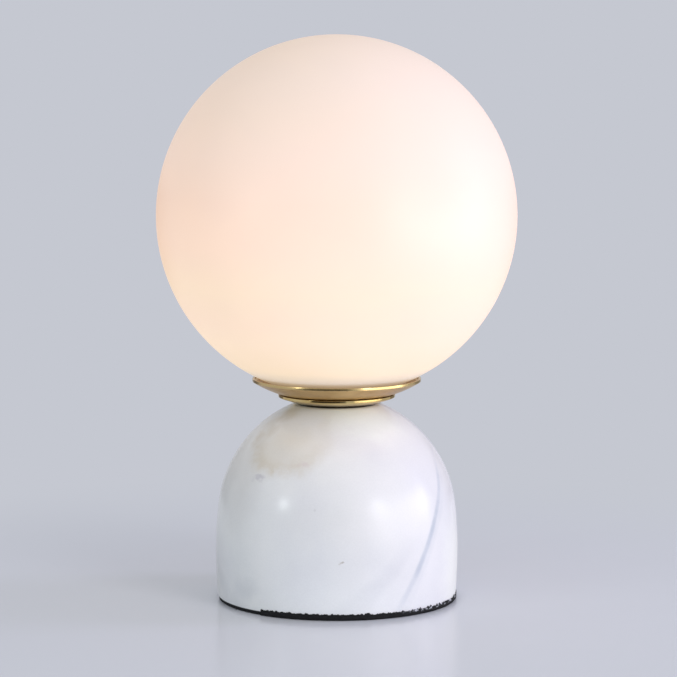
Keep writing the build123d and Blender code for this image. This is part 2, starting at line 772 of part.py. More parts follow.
# Frosted capsule: a tube with a round end, open onto the base.
with BuildPart() as bulb_capsule:
    with BuildSketch(Plane.XZ):
        with BuildLine():
            outer_spring = capsule_top - bulb_radius
            inner_radius = bulb_radius - capsule_wall
            Line((inner_radius, capsule_bottom), (bulb_radius, capsule_bottom))
            Line((bulb_radius, capsule_bottom), (bulb_radius, outer_spring))
            CenterArc((0, outer_spring), bulb_radius, 0, 90)
            Line((0, capsule_top), (0, capsule_top - capsule_wall))
            CenterArc((0, outer_spring), inner_radius, 0, 90)
            Line((inner_radius, outer_spring), (inner_radius, capsule_bottom))
        make_face()
    revolve(axis=Axis.Z)
bulb_capsule.part.label = "bulb_capsule"
export_step(bulb_capsule.part, "parts/bulb_capsule.step")

# Upright circuit board with a column of light-emitting chips on each face.
with BuildPart() as light_board:
    with BuildSketch(Plane.XY.offset(capsule_bottom)):
        Rectangle(board_width, board_thickness)
    extrude(amount=board_height)
    chips_z = capsule_bottom + board_height / 2
    with BuildSketch(Plane.XZ):
        with Locations((0, chips_z)):
            with GridLocations(chip_pitch, chip_pitch, 2, chip_rows):
                Rectangle(chip_size, chip_size)
    extrude(amount=board_thickness / 2 + chip_thickness, both=True)
light_board.part.label = "light_board"
export_step(light_board.part, "parts/light_board.step")

# Two looped wire pins.
with BuildPart() as bulb_pins:
    pin_straight = pin_length - pin_width / 2
    with BuildSketch(Plane.XZ):
        with GridLocations(pin_spacing, 0, 2, 1):
            with Locations((0, holder_top)):
                Rectangle(pin_width, pin_straight, align=(Align.CENTER, Align.MAX))
            with Locations((0, holder_top - pin_straight)):
                Circle(pin_width / 2)
            with Locations((0, holder_top)):
                Rectangle(pin_eye, pin_straight, align=(Align.CENTER, Align.MAX), mode=Mode.SUBTRACT)
    extrude(amount=pin_thickness / 2, both=True)
bulb_pins.part.label = "bulb_pins"
export_step(bulb_pins.part, "parts/bulb_pins.step")
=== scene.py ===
from math import atan, atan2, cos, degrees, hypot, pi, radians, sin, sqrt

import bpy
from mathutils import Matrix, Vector


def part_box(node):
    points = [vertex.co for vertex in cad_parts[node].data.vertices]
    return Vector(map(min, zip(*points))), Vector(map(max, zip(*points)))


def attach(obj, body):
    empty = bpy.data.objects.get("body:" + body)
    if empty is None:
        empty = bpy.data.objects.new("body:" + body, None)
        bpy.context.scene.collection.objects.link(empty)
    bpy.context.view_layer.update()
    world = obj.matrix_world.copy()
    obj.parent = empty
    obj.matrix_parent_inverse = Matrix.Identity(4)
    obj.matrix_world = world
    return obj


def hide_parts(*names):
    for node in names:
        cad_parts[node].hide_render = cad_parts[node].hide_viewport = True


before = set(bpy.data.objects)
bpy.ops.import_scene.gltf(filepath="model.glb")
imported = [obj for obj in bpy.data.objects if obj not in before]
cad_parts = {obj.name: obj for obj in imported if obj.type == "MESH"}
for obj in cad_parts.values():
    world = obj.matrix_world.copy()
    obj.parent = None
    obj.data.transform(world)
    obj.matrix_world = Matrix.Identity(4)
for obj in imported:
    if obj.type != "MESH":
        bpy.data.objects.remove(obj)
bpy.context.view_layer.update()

mm = 0.001  # sizes below are in millimetres, as on a drawing
weld = 0.002 * mm  # points nearer than this are made one
smoothTurn = 32  # degrees: facets that turn less than this are shaded as one surface


def hexColor(code):
    # sRGB hex, as picked from a colour chart, to the linear values that Blender's sockets hold
    channels = [int(code[i:i + 2], 16) / 255 for i in (1, 3, 5)]
    return [c / 12.92 if c <= 0.04045 else ((c + 0.055) / 1.055) ** 2.4 for c in channels] + [1.0]


def metres(sizes):
    return [size * mm for size in sizes]


def feed(tree, node, links):
    # joins sources to a node's sockets: a source that is a node stands for its first output in use
    for key, source in links.items():
        if isinstance(source, bpy.types.Node):
            source = next(output for output in source.outputs if output.enabled)
        tree.links.new(source, node.inputs[key])


def addNode(tree, kind, settings=None, links=None):
    # one node with its settings and what feeds it: "stops" are a ramp's places and tones, "From" and "To"
    # hold both ends of a range, and any other key that is no property of the node is a socket
    node = tree.nodes.new("ShaderNode" + kind)
    for key, value in (settings or {}).items():
        if key == "stops":
            elements = node.color_ramp.elements
            elements[0].position, elements[-1].position = value[0][0], value[-1][0]
            for reach, _ in value[1:-1]:
                elements.new(reach)
            for element, (_, tone) in zip(elements, value):
                element.color = hexColor(tone)
        elif key in ("From", "To"):
            node.inputs[key + " Min"].default_value, node.inputs[key + " Max"].default_value = value
        elif isinstance(key, str) and hasattr(node, key):
            setattr(node, key, value)
        else:
            node.inputs[key].default_value = value
    feed(tree, node, links or {})
    return node


def newMaterial(name, settings):
    # a principled shader with its output, and the place of a point on its piece
    material = bpy.data.materials.new(name)
    material.use_nodes = True
    tree = material.node_tree
    tree.nodes.clear()
    shader = addNode(tree, "BsdfPrincipled", settings)
    addNode(tree, "OutputMaterial", links={"Surface": shader})
    place = addNode(tree, "TexCoord").outputs["Object"]
    return material, tree, shader, place


def latheLay(tree, place):
    # radius and height of a point, so that a pattern read there runs in rings, as a turning tool leaves it
    flat = addNode(tree, "VectorMath", {"operation": "MULTIPLY", 1: (1, 1, 0)}, {0: place})
    reach = addNode(tree, "VectorMath", {"operation": "LENGTH"}, {0: flat})
    split = addNode(tree, "SeparateXYZ", links={"Vector": place})
    return addNode(tree, "CombineXYZ", links={"X": reach, "Z": split.outputs["Z"]})


def makeFinish(name, finish):
    # a plain finish: two close tones in a soft mottle, a roughness that varies with it, and a fine relief
    material, tree, shader, place = newMaterial(name, finish["shader"])
    lay = place
    if finish.get("lay") == "turned":
        lay = latheLay(tree, place)
    elif "lay" in finish:
        lay = addNode(tree, "Mapping", {"Scale": finish["lay"]}, {"Vector": place})
    mottleScale, grainScale = 1 / (finish["mottle"] * mm), 1 / (finish["grain"] * mm)
    mottle = addNode(tree, "TexNoise", {"Scale": mottleScale, "Detail": 4.0}, {"Vector": place})
    dark, pale = finish["tones"]
    tones = addNode(tree, "ValToRGB", {"stops": [(0.36, dark), (0.64, pale)]}, {"Fac": mottle})
    grain = addNode(tree, "TexNoise", {"Scale": grainScale, "Detail": 3.0}, {"Vector": lay})
    both = addNode(tree, "Math", {"operation": "ADD"}, {0: mottle, 1: grain})
    sheen = addNode(tree, "MapRange", {"From": (0.7, 1.3), "To": finish["sheen"]}, {"Value": both})
    relief = addNode(tree, "Bump", {"Strength": 0.6, "Distance": finish["relief"] * mm}, {"Height": grain})
    feed(tree, shader, {"Base Color": tones, "Roughness": sheen, "Normal": relief})
    return material


def dress(material, *nodes):
    # a CAD solid that is shown as it is gets its finish
    for node in nodes:
        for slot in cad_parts[node].material_slots:
            slot.material = material


def wear(piece, material, body, slotName, *nodes):
    # a new piece gets its finish, the body that it rides on and the solids that it stands for
    piece.data.materials.clear()
    piece.data.materials.append(material)
    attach(piece, body)
    if nodes:
        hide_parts(*nodes)


def pickOnly(piece):
    # operators act on all that is selected, so the piece is picked by itself
    bpy.ops.object.select_all(action="DESELECT")
    bpy.context.view_layer.objects.active = piece
    piece.select_set(True)


def weldPoints():
    # in edit mode: points that meet are made one all over the mesh
    bpy.ops.mesh.select_all(action="SELECT")
    bpy.ops.mesh.remove_doubles(threshold=weld)


def faceOut():
    # edit mode ends with every face turned outward
    bpy.ops.mesh.select_all(action="SELECT")
    bpy.ops.mesh.normals_make_consistent(inside=False)
    bpy.ops.object.mode_set(mode="OBJECT")


def drawProfile(name, points):
    # a vertex is set at the first point (radius, height) and pulled from point to point
    bpy.ops.object.select_all(action="DESELECT")
    bpy.ops.mesh.primitive_plane_add(size=mm, location=(0, 0, 0))
    piece = bpy.context.active_object
    piece.name = name
    bpy.ops.object.mode_set(mode="EDIT")
    bpy.ops.mesh.merge(type="CENTER")
    bpy.ops.transform.translate(value=(points[0][0] * mm, 0, points[0][1] * mm))
    for (r0, z0), (r1, z1) in zip(points, points[1:]):
        bpy.ops.mesh.extrude_region_move(
            TRANSFORM_OT_translate={"value": ((r1 - r0) * mm, 0, (z1 - z0) * mm)})
    bpy.ops.mesh.select_all(action="SELECT")
    return piece


def turnPiece(name, profile, steps, sweep=360, smooth=smoothTurn):
    # lathe work: the profile is spun round the lamp's axis
    piece = drawProfile(name, profile)
    bpy.ops.mesh.spin(steps=steps, angle=radians(sweep), center=(0, 0, 0), axis=(0, 0, 1))
    weldPoints()
    if sweep < 360:
        bpy.ops.mesh.select_non_manifold(extend=False)
        bpy.ops.mesh.edge_face_add()
    faceOut()
    bpy.ops.object.shade_smooth_by_angle(angle=radians(smooth))
    return piece


def arc(centre, radius, start, end, count):
    # points of a round stretch of a profile, angles in degrees from the outward direction
    turns = [radians(start + (end - start) * i / count) for i in range(count + 1)]
    return [(centre[0] + radius * cos(turn), centre[1] + radius * sin(turn)) for turn in turns]


threadForm = {
    "sunk": 0.15,  # how far the ridge's foot stands inside the wall that carries it
    "crest": (0.42, 0.52),  # where its crest starts and ends, in shares of the pitch
    "back": 0.94,  # where its far side is down again
    "steps": 72,  # to a turn
}


def threadRidge(name, radius, depth, pitch, low, high, outward=1):
    # the standing ridge of a thread
    foot = radius - outward * threadForm["sunk"]
    crest = radius + outward * depth
    crestStart, crestEnd = threadForm["crest"]
    piece = drawProfile(name, [
        (foot, low), (crest, low + crestStart * pitch), (crest, low + crestEnd * pitch),
        (foot, low + threadForm["back"] * pitch), (foot, low)])
    weldPoints()
    bpy.ops.object.mode_set(mode="OBJECT")
    screw = piece.modifiers.new("helix", "SCREW")
    screw.axis, screw.angle, screw.screw_offset = "Z", 2 * pi, pitch * mm
    screw.iterations = max(1, int((high - low) / pitch - 1))
    screw.steps = screw.render_steps = threadForm["steps"]
    bpy.ops.object.modifier_apply(modifier=screw.name)
    bpy.ops.object.mode_set(mode="EDIT")
    weldPoints()
    bpy.ops.mesh.fill_holes(sides=4)
    faceOut()
    bpy.ops.object.shade_smooth_by_angle(angle=radians(smoothTurn))
    return piece


def softenEdges(piece, width, segments=2, angle=30):
    # edges that turn more than the angle are rounded over the width
    pickOnly(piece)
    bevel = piece.modifiers.new("softenedEdges", "BEVEL")
    bevel.width, bevel.segments = width * mm, segments
    bevel.limit_method, bevel.angle_limit = "ANGLE", radians(angle)
    bpy.ops.object.modifier_apply(modifier=bevel.name)
    bpy.ops.object.shade_smooth_by_angle(angle=radians(smoothTurn))


def cutAway(piece, cutter):
    pickOnly(piece)
    cut = piece.modifiers.new("cut", "BOOLEAN")
    cut.operation, cut.solver, cut.object = "DIFFERENCE", "EXACT", cutter
    bpy.ops.object.modifier_apply(modifier=cut.name)
    bpy.data.objects.remove(cutter)


def joinAll(name, pieces):
    bpy.ops.object.select_all(action="DESELECT")
    for piece in pieces:
        piece.select_set(True)
    bpy.context.view_layer.objects.active = pieces[0]
    bpy.ops.object.join()
    pieces[0].name = name
    return pieces[0]


def settle(piece, move=(0, 0, 0), turn=(0, 0, 0)):
    # the piece is set in its place and its transform is worked into its mesh
    pickOnly(piece)
    piece.rotation_euler = [radians(t) for t in turn]
    piece.location = metres(move)
    bpy.ops.object.transform_apply(location=True, rotation=True, scale=True)


def easeNode(node, width, segments=2):
    # a copy of a solid with its facets joined and its corners softened as moulding or filing leaves them
    first, *others = node.split("_")
    name = first + "".join(word.title() for word in others)
    piece = bpy.data.objects.new(name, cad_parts[node].data.copy())
    bpy.context.scene.collection.objects.link(piece)
    pickOnly(piece)
    bpy.ops.mesh.customdata_custom_splitnormals_clear()
    bpy.ops.object.mode_set(mode="EDIT")
    weldPoints()
    bpy.ops.mesh.dissolve_limited(angle_limit=radians(1))
    faceOut()
    softenEdges(piece, width, segments, angle=35)
    return piece


camera = {
    "lens": 148.9, "sensor": 36.0,  # long lens, in mm on a sensor of this width
    "distance": 1559.0,  # from the lamp's axis to the lens
    "aimHeight": 145.8,  # height on the axis that falls in the middle of the picture
    "pitch": 6.3,  # degrees down
    "sideways": 1.0,  # to the right of the axis
}
pitch = radians(camera["pitch"])
bpy.ops.object.camera_add(
    location=(camera["sideways"] * mm, -camera["distance"] * cos(pitch) * mm,
              (camera["aimHeight"] + camera["distance"] * sin(pitch)) * mm),
    rotation=(pi / 2 - pitch, 0, 0))
lampCamera = bpy.context.active_object
lampCamera.name = "lampCamera"
lampCamera.data.lens = camera["lens"]
lampCamera.data.sensor_width = camera["sensor"]
bpy.context.scene.camera = lampCamera
bpy.context.scene.view_settings.view_transform = "Standard"
print("camera set")


studio = {
    "backdrop": "#C5C8D1",
    "surroundings": 1.0,
    "floor": "#D9DBDF",
    "floorRoughness": (0.16, 0.24),
    "floorRadius": 3000.0,
    "fade": (120.0, 450.0),  # the floor runs into the plain backdrop between these distances from the lamp
    "lightAim": 100.0,  # height on the lamp that the soft boxes face
}
world = bpy.data.worlds.new("paleStudio")
bpy.context.scene.world = world
world.use_nodes = True
background = world.node_tree.nodes["Background"]
background.inputs["Color"].default_value = hexColor(studio["backdrop"])
background.inputs["Strength"].default_value = studio["surroundings"]

bpy.ops.object.select_all(action="DESELECT")
bpy.ops.mesh.primitive_circle_add(vertices=96, radius=studio["floorRadius"] * mm, fill_type="NGON")
floor = bpy.context.active_object
floor.name = "studioFloor"
# a sheet of satin white acrylic: soft, long reflections and a trace of unevenness
acrylic, tree, shader, place = newMaterial(
    "satin acrylic sheet", {"Base Color": hexColor(studio["floor"]), "IOR": 1.49})
ripple = addNode(tree, "TexNoise", {"Scale": 1 / (90 * mm), "Detail": 2.0}, {"Vector": place})
gloss = addNode(tree, "MapRange", {"To": studio["floorRoughness"]}, {"Value": ripple})
feed(tree, shader, {"Roughness": gloss})
reach = addNode(tree, "VectorMath", {"operation": "LENGTH"}, {0: place})
fade = addNode(tree, "MapRange", {"interpolation_type": "SMOOTHSTEP", "From": metres(studio["fade"])},
               {"Value": reach})
plain = addNode(tree, "Emission", {"Color": hexColor(studio["backdrop"])})
blend = addNode(tree, "MixShader", links={0: fade, 1: shader, 2: plain})
feed(tree, tree.nodes["Material Output"], {"Surface": blend})
floor.data.materials.append(acrylic)

softBoxes = {
    # angle round the lamp from the camera, positive to the right; height, distance and size in mm; a box with
    # a "grid" lights and isn't reflected, a "card" is only reflected, and a "lamp" does both
    "keyRight": {"angle": 95, "height": 600, "distance": 1450, "width": 420, "tall": 900,
                 "watts": 7.2, "color": "#DDDAFF", "as": "grid"},
    "sideCard": {"angle": 93, "height": 330, "distance": 1500, "width": 180, "tall": 480,
                 "watts": 0.55, "color": "#F6F8FF", "as": "card"},
    "frontRight": {"angle": 41, "height": 480, "distance": 1600, "width": 240, "tall": 240,
                   "watts": 1.25, "color": "#F2F4FF", "as": "lamp"},
    "fillRight": {"angle": 38, "height": 560, "distance": 1550, "width": 600, "tall": 600,
                  "watts": 8.6, "color": "#FBF7FF", "as": "grid"},
    "lowCard": {"angle": 66, "height": 150, "distance": 750, "width": 950, "tall": 280,
                "watts": 1.7, "color": "#FFFBF2", "as": "card"},
    "frontLeft": {"angle": -53, "height": 480, "distance": 1600, "width": 220, "tall": 220,
                  "watts": 1.4, "color": "#F6FFFF", "as": "lamp"},
    "fillLeft": {"angle": -46, "height": 330, "distance": 1600, "width": 500, "tall": 500,
                 "watts": 1.65, "color": "#D4FFE3", "as": "grid"},
}
for name, box in softBoxes.items():
    turn = radians(box["angle"])
    spot = Vector((sin(turn) * box["distance"], -cos(turn) * box["distance"], box["height"])) * mm
    aim = Vector((0, 0, studio["lightAim"] * mm)) - spot
    bpy.ops.object.light_add(type="AREA", location=spot, rotation=aim.to_track_quat("-Z", "Y").to_euler())
    lamp = bpy.context.active_object
    lamp.name = name
    lamp.data.shape = "RECTANGLE"
    lamp.data.size, lamp.data.size_y = box["width"] * mm, box["tall"] * mm
    lamp.data.energy = box["watts"]
    lamp.data.color = hexColor(box["color"])[:3]
    lamp.visible_glossy = box["as"] != "grid"
    lamp.visible_diffuse = box["as"] != "card"

flags = {
    # dark cards stand on the floor, seen only in reflections: one in front, one behind on each side
    "flagFront": {"angle": -17, "distance": 680, "width": 950, "tall": 250, "tone": "#2C1F10"},
    "flagBackLeft": {"angle": -142, "distance": 700, "width": 330, "tall": 250, "tone": "#7E7A76"},
    "flagBackRight": {"angle": 142, "distance": 700, "width": 330, "tall": 250, "tone": "#98948E"},
}
for name, flag in flags.items():
    turn = radians(flag["angle"])
    spot = Vector((sin(turn) * flag["distance"], -cos(turn) * flag["distance"], flag["tall"] / 2)) * mm
    bpy.ops.object.select_all(action="DESELECT")
    bpy.ops.mesh.primitive_plane_add(size=1, location=spot, rotation=(pi / 2, 0, turn))
    card = bpy.context.active_object
    card.name = name
    card.scale = (flag["width"] * mm, flag["tall"] * mm, 1)
    card.visible_camera = card.visible_diffuse = card.visible_shadow = card.visible_transmission = False
    felt = newMaterial("felt card " + name, {"Base Color": hexColor(flag["tone"]), "Roughness": 1.0})[0]
    card.data.materials.append(felt)
print("studio set")


globe = {
    "radius": 100.0, "wall": 3.0, "mouth": 29.0, "lipChamfer": 0.4,
    "milk": "#DAD6D4", "groundLip": "#F4F3F0",
    # the bulb's light through the glass, painted as glow; its dark first stops are painted shade under the
    # collar
    "glow": [  # from the lip to the crown
        (0.0, "#655D52"), (0.03, "#97866C"), (0.045, "#AA9167"), (0.066, "#C2A067"), (0.147, "#C4A06E"),
        (0.209, "#C09868"), (0.3, "#BC955D"), (0.417, "#BA8955"), (0.546, "#B17D46"), (0.67, "#A87B4C"),
        (0.778, "#A17949"), (0.882, "#9D794D"), (1.0, "#9D7B4B")],
    "glowStrength": 1.0,
}
globeLow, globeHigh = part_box("glass_globe")
lip = globeLow.z / mm
middle = (0, globeHigh.z / mm - globe["radius"])
lipDrop = middle[1] - lip
lipRadius = sqrt(globe["radius"]**2 - lipDrop**2)
inner = globe["radius"] - globe["wall"]
lipTurn = -degrees(atan(lipDrop / lipRadius))
mouthTurn = -degrees(atan(sqrt(inner**2 - globe["mouth"]**2) / globe["mouth"]))
glassGlobe = turnPiece("glassGlobe", (
    arc(middle, globe["radius"], lipTurn, 90, 96) + arc(middle, inner, 90, mouthTurn, 90)
    + [(globe["mouth"], lip), (lipRadius, lip)]), steps=160)
softenEdges(glassGlobe, globe["lipChamfer"], segments=3, angle=40)

# mouth-blown opal glass, acid etched: milky with no sharp highlight, faint swirls in its thickness; its glow
# is painted light of the bulb inside, warmest low down and darkest just above the lip, where painted shade
# stands for the collar hiding the bulb; the ground lip is rougher and whiter
opal, tree, shader, place = newMaterial(
    "etched opal glass", {"IOR": 1.5, "Emission Strength": globe["glowStrength"]})
height = addNode(tree, "SeparateXYZ", links={"Vector": place}).outputs["Z"]
rise = addNode(tree, "MapRange", {"From": (lip * mm, globeHigh.z)}, {"Value": height})
glow = addNode(tree, "ValToRGB", {"stops": globe["glow"]}, {"Fac": rise})
swirl = addNode(tree, "Mapping", {"Location": (0, 0, -middle[1] * mm), "Scale": (1, 1, 1.8)},
                {"Vector": place})
gather = addNode(tree, "TexNoise", {"Scale": 1 / (46 * mm), "Detail": 2.0, "Distortion": 0.7},
                 {"Vector": swirl})
thin = addNode(tree, "MapRange", {"From": (0.25, 0.75), "To": (0.965, 1.03)}, {"Value": gather})
lit = addNode(tree, "VectorMath", {"operation": "SCALE"}, {0: glow, "Scale": thin})
ground = addNode(tree, "MapRange", {"From": ((lip + 0.1) * mm, (lip + 0.9) * mm), "To": (1.0, 0.0)},
                 {"Value": height})
milk = addNode(tree, "Mix", {"data_type": "RGBA", 6: hexColor(globe["milk"]),
                             7: hexColor(globe["groundLip"])}, {0: ground})
etch = addNode(tree, "TexNoise", {"Scale": 1 / (1.1 * mm), "Detail": 2.0}, {"Vector": place})
satin = addNode(tree, "MapRange", {"To": (0.36, 0.46)}, {"Value": etch})
dull = addNode(tree, "Mix", {"data_type": "FLOAT", 3: 0.85}, {0: ground, 2: satin})
frost = addNode(tree, "Bump", {"Strength": 0.25, "Distance": 0.02 * mm}, {"Height": etch})
feed(tree, shader, {"Base Color": milk, "Emission Color": lit, "Roughness": dull, "Normal": frost})
wear(glassGlobe, opal, "globe", "opal_glass", "glass_globe")
print("globe blown")


base = {
    "foot": 66.8, "arris": 0.8, "bulge": 67.75, "bulgeHeight": 29.0,
    "haunch": 200.0, "haunchTurn": 7.3, "seat": 24.0, "tubeHole": 5.8,
    "recess": 32.0, "recessDepth": 32.0, "rebate": 36.0, "rebateDepth": 1.5,
    "inletHeight": 14.0, "inletEnd": 80.0,  # its cutters end outside the stone
    "inletBores": ((6.0, 20.0), (8.1, 64.95)),  # radius and start of the hole and of the bush's seat
}
marbleLow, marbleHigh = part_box("marble_base")
bottom, top = marbleLow.z / mm, marbleHigh.z / mm


def marbleProfile():
    # foot, slight swell, then the dome's arc, which leaves the haunch smoothly and ends at the flat seat
    bulge, bulgeHeight, haunchTurn = base["bulge"], base["bulgeHeight"], base["haunchTurn"]
    haunch = arc((bulge - base["haunch"], bulgeHeight), base["haunch"], 0, haunchTurn, 8)
    start, seat = Vector(haunch[-1]), Vector((base["seat"], top))
    turn = radians(haunchTurn)
    inward = Vector((-cos(turn), -sin(turn)))
    chord = seat - start
    radius = chord.length_squared / (2 * chord.dot(inward))
    centre = start + inward * radius
    lastTurn = degrees(atan((seat.y - centre.y) / (seat.x - centre.x)))
    dome = arc(centre, radius, haunchTurn, lastTurn, 60)
    drop = bulgeHeight - bottom - base["arris"]
    swell = bulge - base["foot"]
    sideRadius = (drop**2 + swell**2) / (2 * swell)
    footTurn = -degrees(atan(drop / (sideRadius - swell)))
    side = arc((bulge - sideRadius, bulgeHeight), sideRadius, footTurn, 0, 14)
    foot = arc((base["foot"] - base["arris"], bottom + base["arris"]), base["arris"], -90, 0, 5)
    return foot + side[1:] + haunch[1:] + dome[1:]


ceiling = bottom + base["recessDepth"]
step = bottom + base["rebateDepth"]
marble = turnPiece("marbleBase", marbleProfile() + [
    (base["tubeHole"], top), (base["tubeHole"], ceiling), (base["recess"], ceiling), (base["recess"], step),
    (base["rebate"], step), (base["rebate"], bottom), (base["foot"] - base["arris"], bottom)], steps=176)
for radius, start in base["inletBores"]:
    bpy.ops.object.select_all(action="DESELECT")
    bpy.ops.mesh.primitive_cylinder_add(
        vertices=72, radius=radius * mm, depth=(base["inletEnd"] - start) * mm, rotation=(pi / 2, 0, 0),
        location=(0, (base["inletEnd"] + start) / 2 * mm, base["inletHeight"] * mm))
    cutAway(marble, bpy.context.active_object)
softenEdges(marble, 0.25, angle=40)

veins = {
    # a vein is a warped sheet through the block: turn and lean of its normal in degrees, offset, wander, core
    # and halo width in mm, how dark it is, and the heights over which it sets in ("foot") and fades out
    "main": {"turn": -125.8, "lean": 30.1, "offset": 25.9, "wander": 1.6, "core": 0.15, "halo": 2.9,
             "depth": 0.5, "foot": (2, 30), "fade": (58, 90), "tone": "#9FADBE"},
    "mainHalo": {"turn": -125.8, "lean": 30.1, "offset": 24.0, "wander": 2.2, "core": 0.5, "halo": 5.5,
                 "depth": 0.19, "foot": (2, 26), "fade": (54, 92), "tone": "#9FADBE"},
    "lowRight": {"turn": -118, "lean": 38, "offset": 47.0, "wander": 3.0, "core": 0.8, "halo": 7.0,
                 "depth": 0.15, "fade": (16, 44), "tone": "#8E93A4"},
    "backA": {"turn": 72, "lean": 24, "offset": 60.0, "wander": 6.0, "core": 0.5, "halo": 5.0,
              "depth": 0.42, "fade": (90, 118), "tone": "#8E93A4"},
    "backB": {"turn": 118, "lean": -20, "offset": 20.0, "wander": 7.0, "core": 0.5, "halo": 7.0,
              "depth": 0.3, "fade": (300, 400), "tone": "#8E93A4"},
    "backC": {"turn": 52, "lean": 40, "offset": 82.0, "wander": 5.0, "core": 0.6, "halo": 4.0,
              "depth": 0.3, "fade": (300, 400), "tone": "#8E93A4"},
}
stain = {
    "centre": (-24.0, -35.0, 96.0), "radius": 22.0, "width": 9.0, "depth": 0.4, "tone": "#C6B391",
    "heavySide": (-0.55, 0.1, -0.83),  # the way to where the ring is strongest
}
spots = {
    # spots on the front: centre, half-widths, strength and tone; the pale ones on the top, foot and side are
    # painted light, the grey one on the shoulder is painted shade, and the rest are marks and tints in the
    # stone
    # painted light: the top under the cup and globe, which they shade, made paler
    "paintedLightTop": {"centre": (16.0, -27.0, 104.0), "size": (36, 26, 20), "depth": 0.85, "tone": "#F9FDF6"},
    # painted shade: the left shoulder, turned away from the lights, made greyer
    "paintedShadeShoulder": {"centre": (-53.0, -32.0, 70.0), "size": (24, 26, 42), "depth": 0.24, "tone": "#B8B0A9"},
    # painted light: the front of the foot made paler, where the bright floor lights it
    "paintedLightFoot": {"centre": (6.0, -67.0, 4.0), "size": (64, 60, 30), "depth": 0.6, "tone": "#FAFAF8"},
    # painted light: the right side low down made paler, where the floor on the right lights it
    "paintedLightSide": {"centre": (67.0, -14.0, 20.0), "size": (19, 36, 46), "depth": 0.85, "tone": "#FDFDF3"},
    "stainFill": {"centre": (-26.0, -39.0, 89.0), "size": (32, 25, 21), "depth": 0.36, "tone": "#D6C8AC"},
    "streakHigh": {"centre": (-6.0, -36.0, 102.0), "size": (6.5, 20, 14), "depth": 0.08, "tone": "#C6B391"},
    "coolFoot": {"centre": (0.0, -66.0, 18.0), "size": (110, 90, 44), "depth": 0.1, "tone": "#CFDAF0"},
    "streakLeft": {"centre": (-26.0, -17.5, 105.5), "size": (9, 12, 6), "depth": 0.34, "tone": "#C6B79C"},
    "streakSide": {"centre": (-36.0, -24.0, 97.5), "size": (7, 8, 8), "depth": 0.22, "tone": "#C6B391"},
    "lilac": {"centre": (-43.3, -42.5, 73.2), "size": (7.0, 6, 2.0), "depth": 0.36, "tone": "#9C93A6"},
    "pink": {"centre": (-18.0, -52.5, 82.6), "size": (4.5, 4, 2.4), "depth": 0.24, "tone": "#CDB0B4"},
    "pit": {"centre": (3.0, -67.6, 30.9), "size": (1.5, 3, 1.1), "depth": 0.6, "tone": "#93806B"},
    "speck": {"centre": (-11.7, -63.8, 60.8), "size": (1.5, 3, 1.3), "depth": 0.22, "tone": "#A9A49E"},
    "lowLeft": {"centre": (-50.0, -45.0, 12.6), "size": (16, 14, 9), "depth": 0.16, "tone": "#A7ABB8"},
}
stone, tree, shader, place = newMaterial("honed white marble", {"IOR": 1.5})
height = addNode(tree, "SeparateXYZ", links={"Vector": place}).outputs["Z"]
fray = addNode(tree, "TexNoise", {"Scale": 1 / (9 * mm), "Detail": 5.0, "Roughness": 0.6}, {"Vector": place})
frayShift = addNode(tree, "VectorMath", {"operation": "MULTIPLY_ADD", 1: [11 * mm] * 3, 2: [-5.5 * mm] * 3},
                    {0: fray.outputs["Color"]})
frayed = addNode(tree, "VectorMath", {"operation": "ADD"}, {0: place, 1: frayShift})


def tinted(color, amount, tone):
    # the stone's colour drawn toward another by an amount
    return addNode(tree, "Mix", {"data_type": "RGBA", 7: hexColor(tone)}, {0: amount, 6: color})


def overlap(first, second):
    # strong only where both are
    return addNode(tree, "Math", {"operation": "MULTIPLY"}, {0: first, 1: second})


def veinSheet(vein):
    # how strongly a point near the sheet is tinted, 0 to the vein's depth
    turn, lean = radians(vein["turn"]), radians(vein["lean"])
    normal = (cos(lean) * cos(turn), cos(lean) * sin(turn), sin(lean))
    along = addNode(tree, "VectorMath", {"operation": "DOT_PRODUCT", 1: normal}, {0: place})
    warp = addNode(tree, "TexNoise", {"noise_dimensions": "4D", "W": vein["offset"], "Scale": 1 / (24 * mm),
                                      "Detail": 4.0, "Roughness": 0.55}, {"Vector": place})
    wander = vein["wander"] * mm
    drift = addNode(tree, "MapRange", {"clamp": False, "To": (-wander, wander)}, {"Value": warp})
    bent = addNode(tree, "Math", {"operation": "ADD"}, {0: along, 1: drift})
    off = addNode(tree, "Math", {"operation": "SUBTRACT", 1: vein["offset"] * mm}, {0: bent})
    gap = addNode(tree, "Math", {"operation": "ABSOLUTE"}, {0: off})
    near = addNode(tree, "MapRange", {"interpolation_type": "SMOOTHERSTEP", "To": (vein["depth"], 0.0),
                                      "From": metres((vein["core"], vein["halo"]))}, {"Value": gap})
    patch = addNode(tree, "TexNoise", {"noise_dimensions": "4D", "W": vein["turn"], "Scale": 1 / (15 * mm),
                                       "Detail": 3.0}, {"Vector": place})
    patchy = addNode(tree, "MapRange", {"From": (0.3, 0.62), "To": (0.35, 1.0)}, {"Value": patch})
    shown = overlap(near, patchy)
    if "foot" in vein:
        rising = addNode(tree, "MapRange", {"From": metres(vein["foot"]), "To": (0.3, 1.0)},
                         {"Value": height})
        shown = overlap(shown, rising)
    fading = addNode(tree, "MapRange", {"interpolation_type": "SMOOTHSTEP", "From": metres(vein["fade"]),
                                        "To": (1.0, 0.0)}, {"Value": height})
    return overlap(shown, fading)


